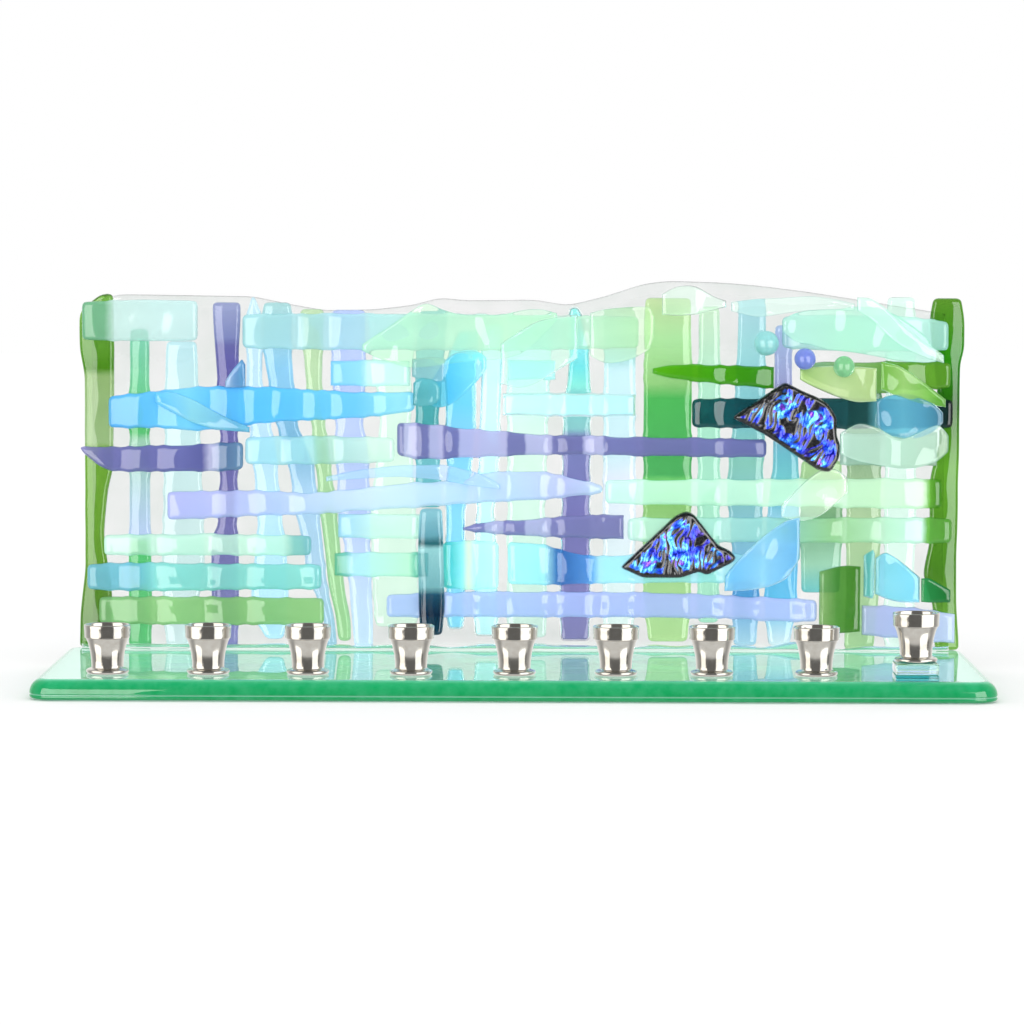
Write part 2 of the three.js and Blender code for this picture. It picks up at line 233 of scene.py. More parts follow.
def base_glass():
    """Thick emerald glass: clear through its thickness; its rim is a nearly opaque deep green, painted
    where the rim gathers light, and its flat faces have a faint painted green glow.
    """
    m = Nodes("emerald_glass")
    tint = m.ramp(m.noise(70, 4), [(0.3, (0.94, 0.99, 0.965, 1)), (0.7, grey(1))])
    height = m.add("ShaderNodeMapRange", From_Min=0.0, From_Max=RIM_SPAN * MM)
    m.link(m.axis("Z"), height.inputs["Value"])
    rim = m.ramp(height.outputs["Result"], [(z / RIM_SPAN, linear(colour)) for z, *colour in RIM_COLOURS_AND_HIGHLIGHTS])
    rim = m.mix(m.spread(m.noise(240, 3), 0.0, 0.16), rim, linear((120, 220, 180)))
    edge = m.mark("rim")
    m.feed(m.mix(edge, tint, rim), "Base Color")
    # Nearly opaque on the rim, so its deep green there is painted rather than seen through the glass.
    m.feed(m.ramp(edge, [(0, grey(1)), (1, grey(0.12))]), "Transmission Weight")
    # Painted glow: emission of 0.1 away from the rim, on the flat top and underside, that fades to none on
    # the rim.
    m.feed(m.ramp(edge, [(0, grey(0.1)), (1, grey(0))]), "Emission Strength")
    m.feed(m.spread(m.noise(220, 3), 0.0, 0.035), "Roughness")
    m.bump(m.noise(120, 2), 0.12, 0.06 * MM)
    m.set(IOR=1.5, Emission_Color=(0.3, 1.0, 0.68, 1))
    body = m.add("ShaderNodeVolumeAbsorption", Density=42.0)
    body.inputs["Color"].default_value = (0.16, 0.84, 0.64, 1)
    m.link(body.outputs["Volume"], m.tree.nodes["Material Output"].inputs["Volume"])
    return m.material


def nickel():
    """Polished nickel plate with a faint brushed grain and small handling marks."""
    m = Nodes("polished_nickel")
    tarnish = m.ramp(m.noise(500, 4), [(0.3, (0.64, 0.61, 0.55, 1)), (0.7, (0.7, 0.675, 0.62, 1))])
    m.feed(tarnish, "Base Color")
    m.feed(m.spread(m.noise(1500, 3, (1, 1, 6)), 0.11, 0.15), "Roughness")
    m.bump(m.noise(900, 2, (1, 1, 8)), 0.03, 0.02 * MM)
    m.set(Metallic=1.0)
    return m.material


def opal_glass(name, colour):
    """Milky glass for the small balls."""
    m = Nodes(name)
    deep = [c * 0.88 for c in linear(colour)[:3]] + [1]
    m.feed(m.ramp(m.noise(500, 3), [(0.3, deep), (0.7, linear(colour))]), "Base Color")
    m.feed(m.spread(m.noise(900), 0.03, 0.08), "Roughness")
    m.bump(m.noise(600), 0.1, 0.05 * MM)
    m.set(Transmission_Weight=0.25, IOR=GLASS_IOR)
    return m.material


FILM_COLOURS = [(0.3, (0.02, 0.0, 0.2, 1)), (0.4, (0.0, 0.01, 0.5, 1)), (0.47, (0.0, 0.04, 0.85, 1)),
                (0.54, (0.02, 0.2, 1.0, 1)), (0.6, (0.1, 0.55, 1.0, 1)), (0.65, (0.05, 0.03, 0.75, 1)),
                (0.72, (0.4, 0.1, 0.75, 1))]
BLACK_GLASS = (0.001, 0.001, 0.004, 1)


def dichroic_glass(name, offset):
    """Black glass under a crumpled metal film that goes from deep blue to cyan and violet."""
    m = Nodes(name)
    moved = m.add("ShaderNodeMapping")
    moved.inputs["Location"].default_value = (offset, 0, 0)
    m.link(m.place, moved.inputs["Vector"])
    hue = m.add("ShaderNodeTexNoise", Scale=170, Detail=3)
    m.link(moved.outputs["Vector"], hue.inputs["Vector"])
    film = m.ramp(hue.outputs["Fac"], FILM_COLOURS)
    share = m.mark("ripple")
    m.feed(m.mix(m.ramp(share, [(0.3, grey(0)), (0.48, grey(1))]), BLACK_GLASS, film), "Base Color")
    m.feed(m.ramp(share, [(0.3, grey(0)), (0.48, grey(0.65))]), "Metallic")
    m.feed(m.spread(m.noise(900), 0.16, 0.34), "Roughness")
    m.set(Coat_Weight=0.5, Coat_Roughness=0.04)
    return m.material


# ------------------------------------------------------------- mesh helpers


def add_mesh(name, vertices, faces, material, replaced=()):
    """A smooth closed piece that rides on the body and takes the material given to it."""
    mesh = bpy.data.meshes.new(name)
    mesh.from_pydata([tuple(v) for v in vertices], [], [tuple(f) for f in faces])
    work = bmesh.new()
    work.from_mesh(mesh)
    bmesh.ops.recalc_face_normals(work, faces=work.faces)
    work.to_mesh(mesh)
    work.free()
    mesh.shade_smooth()
    mesh.materials.append(material)
    piece = bpy.data.objects.new(name, mesh)
    bpy.context.scene.collection.objects.link(piece)
    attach(piece, "root")
    if replaced:
        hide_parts(*replaced)
    return piece


def mark_points(piece, name, values):
    """Stores a number at each point of a piece, which its material reads by name."""
    piece.data.attributes.new(name, "FLOAT", "POINT").data.foreach_set("value", values)


def mark_flat(piece):
    """Keeps the large faces flat and their rim crisp."""
    for face in piece.data.polygons:
        if len(face.vertices) > 4:
            face.use_smooth = False


def two_sided_faces(front, back):
    """Four-sided faces of two grids that share their outermost vertices, one facing each way."""
    faces = []
    for i in range(len(front) - 1):
        for j in range(len(front[0]) - 1):
            faces.append((front[i][j], front[i][j + 1], front[i + 1][j + 1], front[i + 1][j]))
            faces.append((back[i][j], back[i + 1][j], back[i + 1][j + 1], back[i][j + 1]))
    return faces


def ring_faces(rings, count, first=0):
    """Four-sided faces between rings of count vertices each, numbered on from first."""
    faces = []
    for start in range(first, first + (rings - 1) * count, count):
        for k in range(count):
            a, b = start + k, start + (k + 1) % count
            faces.append((a, b, b + count, a + count))
    return faces


def ripple(x, z, seed, size):
    """Smooth noise of about -0.5 to 0.5 over the panel; size is its wavelength."""
    return noise.noise(Vector((x / size, z / size, seed)))


def node_outline(name):
    """The outline of a flat CAD piece's front face, as an array of (x, z) in order."""
    mesh = frame["nodes"][name].data
    front = min(v.co.y for v in mesh.vertices) + 1e-6
    place = [(round(v.co.x, 6), round(v.co.z, 6)) for v in mesh.vertices]
    follows = set()
    for face in mesh.polygons:
        if all(mesh.vertices[i].co.y < front for i in face.vertices):
            ring = [place[i] for i in face.vertices]
            follows.update(zip(ring, ring[1:] + ring[:1]))
    after = {a: b for a, b in follows if (b, a) not in follows}
    start = point = min(after)
    outline = [start]
    while after[point] != start:
        point = after[point]
        outline.append(point)
    return np.array(outline)


def rows_outline(rows):
    """An outline from rows of (x, bottom, top) in millimetres."""
    low = [(x, bottom) for x, bottom, _ in rows]
    high = [(x, top) for x, _, top in reversed(rows)]
    return np.array(low + high) * MM


# Shape of the fused strips: soft edges and ends, a low crown across, a spread at the edges of the
# strips that cross them, wavering sides, a crumpled face, and a sag of the level strips.
EDGE_RADIUS = 1.5 * MM
END_RADIUS = 1.7 * MM
CROWN = 0.4 * MM
FLARE = 0.45 * MM
FLARE_WIDTH = 1.7 * MM
FLARE_FADE = 4 * MM
WAVER = 0.25 * MM
WAVER_LENGTH = 14 * MM
STRIP_CRUMPLE = 0.22 * MM
SHARD_CRUMPLE = 0.8 * MM
CRUMPLE_LENGTH = 9 * MM
SAG = 1.0 * MM
SAG_SPREAD = 3.4 * MM

# Fineness of their meshes, and how their outlines are smoothed.
STATION_STEP = 1.3 * MM
EDGE_STATIONS = 6
EDGE_SHARES = [0, 0.03, 0.1, 0.22, 0.4, 0.62, 0.82, 1]
SMOOTHING = 3 * MM
SMOOTHING_GUARD = 8 * MM


class Strip:
    """A strip's outline, and how far it reaches across at a place along it."""

    def __init__(self, name, outline, upright, stops, clarity, slot, layer, node=None,
                 crumple=STRIP_CRUMPLE):
        self.name, self.upright, self.stops, self.crumple = name, upright, stops, crumple
        self.clarity, self.slot, self.layer, self.node = clarity, slot, layer, node
        self.along = outline[:, 1] if upright else outline[:, 0]
        self.across = outline[:, 0] if upright else outline[:, 1]
        self.start, self.end = self.along.min(), self.along.max()
        self.crossed = []

    def edges(self, station):
        """The low and high edge at one station."""
        a0, a1 = self.along, np.roll(self.along, -1)
        c0, c1 = self.across, np.roll(self.across, -1)
        station = min(max(station, self.start + 1e-5), self.end - 1e-5)
        hit = (np.minimum(a0, a1) <= station) & (station <= np.maximum(a0, a1)) & (a0 != a1)
        share = (station - a0[hit]) / (a1[hit] - a0[hit])
        reach = c0[hit] + share * (c1[hit] - c0[hit])
        return reach.min(), reach.max()

    def middle(self):
        return self.edges((self.start + self.end) / 2)


def find_crossings(uprights, levels):
    """Gives every strip the spans, along itself, where strips of the other direction cross it."""
    for level in levels:
        for upright in uprights:
            left, right = upright.edges(sum(level.middle()) / 2)
            x = (left + right) / 2
            if not level.start < x < level.end:
                continue
            bottom, top = level.edges(x)
            if upright.start < (bottom + top) / 2 < upright.end:
                left, right = upright.edges((bottom + top) / 2)
                level.crossed.append((left, right))
                upright.crossed.append((bottom, top))


def graded(start, end, edge, step=None, count=None):
    """Stations from start to end: close together within edge of each end, then evenly spaced."""
    near = [edge * (1 - math.cos(math.pi / 2 * k / EDGE_STATIONS)) for k in range(EDGE_STATIONS + 1)]
    count = count or max(2, round((end - start - 2 * edge) / step))
    inner = list(np.linspace(start + edge, end - edge, count + 1))[1:-1]
    return [start + d for d in near] + inner + [end - d for d in reversed(near)]


def rounded(distance, radius):
    """Quarter-round height, from 0 at the edge to 1 at radius or more from it."""
    t = min(max(distance / radius, 0), 1)
    return math.sqrt(1 - (1 - t) ** 2)


def smoothed(stations, values, spread, guard):
    """Gaussian smoothing along the stations, fading out within guard of either end."""
    stations, values = np.array(stations), np.array(values)
    weights = np.exp(-(((stations[:, None] - stations[None, :]) / spread) ** 2))
    gaps = np.gradient(stations)
    weights *= gaps[None, :]
    soft = weights @ values / weights.sum(1)
    near = np.minimum(stations - stations[0], stations[-1] - stations)
    share = np.clip(near / guard, 0, 1)
    return values * (1 - share) + soft * share


def sag_at(strip, station):
    """How far a level strip has sunk back between the strips under it."""
    if strip.upright or not strip.crossed:
        return 0.0
    support = 0.0
    for low, high in strip.crossed:
        a = math.erf((station - low) / SAG_SPREAD)
        b = math.erf((station - high) / SAG_SPREAD)
        support += (a - b) / 2
    return SAG * (1 - min(1, support))


def flare_at(strip, station):
    """How far a strip has spread sideways at the edges of the strips that cross it."""
    if strip.name.startswith("border"):
        return 0.0
    edges = [edge for span in strip.crossed for edge in span]
    flare = sum(math.exp(-(((station - edge) / FLARE_WIDTH) ** 2)) for edge in edges)
    to_end = min(station - strip.start, strip.end - station)
    return FLARE * min(1, flare) * min(1, to_end / FLARE_FADE)


def front_row(strip, station, low, high, seed):
    """The front of a strip at one station: (place across, y) from its low edge to its high one."""
    back = strip.layer[1].y - LAYER_GAP
    thick = back - strip.layer[0].y - LAYER_GAP
    crown = min(CROWN, 0.3 * thick)
    flare, sag = flare_at(strip, station), sag_at(strip, station)
    low += WAVER * ripple(station, low, seed, WAVER_LENGTH) - flare
    high += WAVER * ripple(station, high, seed + 5, WAVER_LENGTH) + flare
    width = high - low
    radius = min(EDGE_RADIUS, 0.46 * width)
    inset = [radius * share for share in EDGE_SHARES]
    inner = [radius + (width - 2 * radius) * k / 5 for k in range(1, 5)]
    end = rounded(min(station - strip.start, strip.end - station), END_RADIUS)
    row = []
    for d in inset + inner + [width - d for d in reversed(inset)]:
        edge = rounded(min(d, width - d), radius)
        bulge = crown * (1 - (2 * d / width - 1) ** 2)
        height = ((thick - crown) * edge + bulge) * end
        wave = strip.crumple * ripple(station, low + d, seed + 11, CRUMPLE_LENGTH) * end
        if strip.crumple == SHARD_CRUMPLE:
            wave *= edge
        row.append((low + d, back - height + sag + (wave if 0 < d < width else 0)))
    return row


def back_grid(strip, stations, front, vertices):
    """Adds the flat back of a strip, which shares its outermost vertices with the front."""
    back = strip.layer[1].y - LAYER_GAP
    grid = [list(row) for row in front]
    for station, row in list(zip(stations, grid))[1:-1]:
        sag = sag_at(strip, station)
        for j in range(1, len(row) - 1):
            x, _, z = vertices[row[j]]
            row[j] = len(vertices)
            vertices.append((x, back + sag, z))
    return grid


def painted_edge_shade_marks(front, count):
    """Where the painted edge shade goes: 1 at the vertices in the front's two outermost rows, and 0 at the
    others.
    """
    marks = [0.0] * count
    rows, columns = len(front), len(front[0])
    for i, row in enumerate(front):
        for j, index in enumerate(row):
            if min(i, j, rows - 1 - i, columns - 1 - j) <= 1:
                marks[index] = 1.0
    return marks


def strip_piece(strip, seed):
    """A fused strip: flat at the back, pillowed at the front, with soft edges and ends."""
    stations = graded(strip.start, strip.end, END_RADIUS, STATION_STEP)
    sides = zip(*[strip.edges(station) for station in stations])
    low, high = [smoothed(stations, side, SMOOTHING, SMOOTHING_GUARD) for side in sides]
    vertices, front = [], []
    for s, a, b in zip(stations, low, high):
        points = front_row(strip, s, a, b, seed)
        front.append(range(len(vertices), len(vertices) + len(points)))
        vertices += [(across, y, s) if strip.upright else (s, y, across) for across, y in points]
    faces = two_sided_faces(front, back_grid(strip, stations, front, vertices))
    material = strip_glass(strip.name + "_glass", strip.stops, strip.upright, strip.clarity)
    replaced = [strip.node] if strip.node else ()
    piece = add_mesh(strip.name + "_fused", vertices, faces, material, replaced)
    # The outline mark carries the painted edge shade.
    mark_points(piece, "outline", painted_edge_shade_marks(front, len(vertices)))


# ------------------------------------------------------------ strip colours

# Half the width of the soft sides of the painted highlight blocks on the bars.
PAINTED_HIGHLIGHT_EDGE = 0.4


def with_painted_highlights(stops, pale, spans):
    """Colour stops of a bar, with painted highlights in it: paler blocks where it spans open gaps, which
    stand in for reflections of the softboxes on its sagging front.
    """
    own = stops[0][1:]
    edges = []
    for first, last in spans:
        for at, before, after in ((first, own, pale), (last, pale, own)):
            edges += [(at - PAINTED_HIGHLIGHT_EDGE, *before), (at + PAINTED_HIGHLIGHT_EDGE, *after)]
    return sorted(stops + edges)


# For each CAD strip: how clear it is, and its colours along it, as strip_glass() takes them; some of the
# stops hold painted highlights.
STRIP_LOOKS = {
    # border_left's stops from 86 to 118 mm hold a pale block, a painted highlight that stands in for a
    # softbox reflection on its flat face.
    "border_left": (0.85, [(7, 62, 134, 14), (20, 84, 132, 44), (45, 106, 158, 52), (86, 118, 170, 60),
        (89, 158, 188, 134), (115, 150, 182, 120), (118, 80, 142, 24), (146, 125, 180, 80)]),
    "border_right": (0.85, [(7, 120, 176, 74), (40, 78, 136, 35), (80, 96, 160, 42), (105, 32, 98, 4),
        (125, 44, 140, 4), (146, 90, 144, 42)]),
    "upright_01_green": (0.9, [(7, 100, 190, 125), (50, 95, 200, 125), (53, 190, 208, 240),
        (90, 164, 208, 184), (93, 96, 196, 122), (133, 142, 214, 188)]),
    "upright_02_aqua": (0.95, [(7, 212, 234, 235), (60, 207, 230, 230), (128, 195, 230, 236)]),
    "upright_03_purple": (0.9, [(7, 140, 145, 196), (50, 124, 122, 178), (120, 106, 102, 172),
        (127, 112, 112, 175), (130, 134, 142, 192), (143, 160, 168, 206)]),
    "upright_04_cyan": (0.95, [(11, 190, 238, 254), (90, 194, 228, 253), (146, 206, 235, 246)]),
    "upright_05_teal": (0.9, [(7, 162, 207, 224), (40, 180, 213, 235), (70, 180, 215, 242),
        (90, 135, 190, 222), (118, 150, 208, 240), (143, 180, 220, 222)]),
    "upright_06_light_green": (0.85, [(10, 165, 217, 160), (60, 172, 215, 165), (141, 202, 226, 190)]),
    "upright_07_lavender": (0.85, [(7, 212, 238, 255), (60, 196, 212, 250), (141, 195, 210, 248)]),
    "upright_08_mint": (0.95, [(16, 217, 240, 225), (139, 222, 248, 236)]),
    "upright_09_teal": (0.9, [(63, 120, 196, 204), (94, 124, 198, 206), (97, 84, 174, 180),
        (109, 86, 180, 184), (112, 126, 204, 212), (140, 150, 208, 212)]),
    "upright_10_navy": (0.8, [(13, 15, 70, 90), (22, 6, 54, 80), (30, 46, 104, 122), (33, 130, 188, 196),
        (48, 158, 212, 216), (50, 30, 100, 110), (53, 110, 172, 188), (63, 150, 205, 218)]),
    "upright_11_sky": (0.85, [(15, 150, 228, 252), (62, 148, 222, 254), (97, 138, 215, 248),
        (105, 124, 217, 243), (124, 150, 230, 248), (133, 150, 232, 240)]),
    "upright_12_cyan": (0.95, [(12, 203, 251, 254), (136, 210, 250, 250)]),
    "upright_13_mint": (0.95, [(12, 208, 236, 226), (90, 220, 248, 234), (110, 212, 248, 243),
        (138, 220, 248, 235)]),
    "upright_14_purple": (0.85, [(10, 142, 142, 190), (60, 130, 128, 188), (92, 132, 140, 192),
        (95, 148, 206, 208), (108, 140, 207, 209), (112, 150, 236, 225), (119, 126, 228, 232),
        (128, 160, 240, 248), (142, 166, 240, 236)]),
    "upright_15_cyan": (0.95, [(9, 225, 246, 240), (75, 226, 233, 247), (84, 210, 236, 244),
        (118, 208, 241, 247), (122, 182, 226, 226), (141, 190, 216, 192)]),
    "upright_16_green": (0.85, [(10, 188, 226, 164), (50, 165, 212, 150), (64, 150, 202, 126),
        (74, 142, 222, 130), (77, 86, 180, 104), (107, 86, 188, 98), (113, 156, 208, 136),
        (130, 182, 230, 170), (145, 198, 222, 172)]),
    "upright_17_mint": (0.9, [(18, 176, 230, 205), (100, 176, 230, 206), (142, 206, 233, 206)]),
    "upright_18_blue": (0.9, [(9, 182, 222, 238), (30, 84, 162, 216), (46, 136, 192, 218),
        (62, 142, 197, 206), (82, 143, 203, 190), (100, 130, 197, 206), (130, 170, 220, 224),
        (144, 178, 216, 226)]),
    "upright_19_sky": (0.9, [(9, 220, 240, 243), (27, 106, 199, 240), (48, 116, 192, 230),
        (53, 185, 226, 245), (65, 130, 198, 218), (69, 122, 204, 205), (85, 115, 190, 204),
        (112, 154, 160, 203), (135, 180, 200, 235)]),
    "upright_20_olive": (0.85, [(30, 112, 200, 204), (42, 165, 212, 186), (60, 128, 176, 134),
        (82, 178, 215, 160)]),
    "upright_21_light_green": (0.85, [(7, 170, 210, 160), (60, 184, 211, 170), (110, 96, 144, 112)]),
    "upright_22_mint": (0.95, [(8, 225, 246, 237), (146, 215, 239, 228)]),
    "level_01_aqua": (0.6, [(-170, 140, 198, 165), (-160, 146, 202, 170), (-157, 212, 236, 232),
        (-124, 210, 236, 236)]),
    "level_02_sky": (0.3, [(-160, 98, 188, 250), (-140, 112, 205, 253), (-128, 132, 218, 254),
        (-115, 98, 196, 250), (-95, 104, 205, 254), (-62, 125, 215, 254), (-45, 165, 234, 254),
        (-39, 160, 232, 254)]),
    "level_03_purple": (0.4, [(-170, 155, 152, 205), (-160, 125, 126, 185), (-130, 118, 120, 184),
        (-122, 106, 108, 172), (-119, 198, 198, 230), (-115.5, 172, 184, 216), (-115, 98, 134, 176),
        (-107, 120, 158, 192)]),
    "level_04_lavender": (0.4, [(-136, 195, 198, 246), (-110, 200, 208, 252), (-90, 202, 220, 254),
        (-60, 222, 240, 254), (-30, 215, 238, 254), (0, 205, 226, 254), (20, 203, 212, 248),
        (34, 208, 228, 250)]),
    "level_05_mint": (0.6, [(-161, 215, 245, 232), (-90, 212, 245, 230), (-86, 150, 212, 207),
        (-80, 150, 212, 210)]),
    "level_06_turquoise": (0.45, [(-168, 136, 204, 222), (-155, 135, 205, 222), (-148, 132, 206, 232),
        (-140, 158, 230, 226), (-118, 152, 222, 216), (-76, 160, 232, 226)]),
    "level_07_light_green": (0.4, [(-163, 148, 205, 138), (-150, 152, 206, 142), (-135, 165, 215, 150),
        (-115, 148, 202, 136), (-75, 165, 215, 150)]),
    "level_08_mint": (0.6, [(-107, 190, 228, 228), (-70, 190, 226, 234), (0, 214, 243, 228),
        (48, 198, 232, 210)]),
    "level_09_mint": (0.6, [(-106, 188, 230, 240), (-80, 190, 236, 240), (-74, 192, 230, 220),
        (-47, 232, 253, 242)]),
    # The paler blocks of level_10_purple are painted highlights.
    "level_10_purple": (0.4, with_painted_highlights([(-46, 132, 134, 190), (98, 122, 126, 186)], (196, 196, 234),
        ((-43, -38), (-33, -27.5), (-21.5, -2.5), (4.5, 15), (27, 35.3)))),
    "level_11_turquoise": (0.65, [(-28.5, 96, 215, 205), (-24, 115, 225, 220), (-20, 185, 250, 248),
        (-17.5, 236, 254, 232), (-15.5, 205, 252, 250), (-6.5, 215, 254, 253)]),
    "level_12_blue_wave": (0.7, [(-3, 192, 250, 254), (12, 185, 244, 254), (17, 66, 132, 200),
        (31, 120, 190, 246), (34, 188, 242, 254), (60, 190, 242, 253), (100, 190, 240, 246)]),
    "level_13_mint": (0.6, [(35, 218, 252, 240), (160, 225, 252, 225), (163, 130, 200, 78),
        (167, 84, 160, 24)]),
    "level_14_green": (0.6, [(44, 218, 248, 236), (100, 180, 230, 226), (125, 182, 226, 178),
        (160, 220, 250, 240), (162, 125, 196, 92), (171, 112, 180, 75)]),
    "level_15_dark_teal": (0.7, [(69, 22, 86, 90), (78, 18, 90, 96), (100, 14, 80, 90), (128, 28, 84, 88),
        (138, 40, 95, 98), (143, 122, 200, 220), (160, 122, 188, 206), (166, 32, 76, 84),
        (171, 12, 36, 30)]),
    "level_16_aqua": (0.6, [(104, 186, 226, 223), (150, 215, 248, 238), (164, 190, 235, 225),
        (169, 182, 230, 222)]),
    "level_17_green": (0.5, [(111, 140, 188, 155), (130, 150, 194, 130), (150, 112, 172, 60),
        (170, 105, 170, 48)]),
    "level_18_lavender": (0.4, [(-50, 198, 216, 254), (-10, 195, 216, 254), (25, 192, 206, 253),
        (118, 198, 212, 250)]),
}

# Thinner level strips that the CAD model leaves out: how clear they are, the name of a material slot,
# which is kept but not used, rows of (x, bottom, top) in millimetres, and their colours.
EXTRA_LEVELS = {
    "thin_blue_mint": (0.6, "glass_sky", [(-72.5, 111, 120.5), (-41.5, 110.8, 121)],
        [(-72, 150, 222, 254), (-60, 172, 234, 254), (-57, 214, 252, 246), (-41, 218, 250, 240)]),
    "thin_pale_blue": (0.6, "glass_pale_cyan", [(-69.5, 51.3, 60.3), (-37.5, 51, 60.5)],
        [(-70, 180, 228, 246), (-55, 222, 252, 243), (-37, 228, 252, 242)]),
    "thin_teal_mint": (0.6, "glass_mint", [(-71, 36.3, 45.2), (-34, 36, 45.5)],
        [(-71, 125, 205, 178), (-65.5, 135, 212, 200), (-63, 205, 247, 250), (-41, 210, 250, 228),
        (-39, 150, 222, 200), (-34, 100, 190, 190)]),
    "thin_cyan": (0.6, "glass_pale_cyan", [(-5, 99.5, 108), (20, 99, 108.2), (47, 99.3, 107.6)],
        [(-5, 218, 254, 253), (47, 206, 248, 252)]),
    "thin_pale_cyan": (0.6, "glass_pale_cyan", [(-3, 113.3, 121), (15.5, 113.5, 120.8)],
        [(-3, 206, 253, 253), (15, 200, 250, 250)]),
    # The paler blocks of thin_purple_taper are painted highlights.
    "thin_purple_taper": (0.4, "glass_purple", [(-20.5, 54.4, 55.4), (-12, 53.2, 57.5), (5, 52.2, 58.4),
        (20, 51.5, 60), (42.5, 51, 60.5)],
        with_painted_highlights([(-20, 142, 144, 200), (42, 140, 140, 192)], (188, 192, 230), ((-11, -4),
        (4.5, 14.7)))),
    "thin_bright_green": (0.6, "glass_border_green", [(53.5, 116, 118), (60, 114.3, 119.4),
        (80, 112, 119.3), (101, 110.2, 118.6)],
        [(53, 105, 192, 25), (80, 75, 166, 18), (101, 66, 152, 22)]),
    "thin_green_teal": (0.6, "glass_aqua", [(127, 80.5, 92.5), (165, 80, 93)],
        [(127, 190, 220, 208), (165, 176, 202, 182)]),
    "thin_lavender": (0.3, "glass_lavender", [(136, 13.5, 25.3), (155, 12, 24.4), (172.5, 10.3, 21.8)],
        [(136, 196, 205, 242), (155, 190, 198, 244), (172, 212, 225, 252)]),
    "olive_block": (0.7, "glass_border_green", [(119.2, 14.5, 38.5), (128, 14.2, 41), (135.4, 15, 40.5)],
        [(119, 160, 196, 132), (127, 95, 158, 72), (135, 90, 152, 58)]),
}

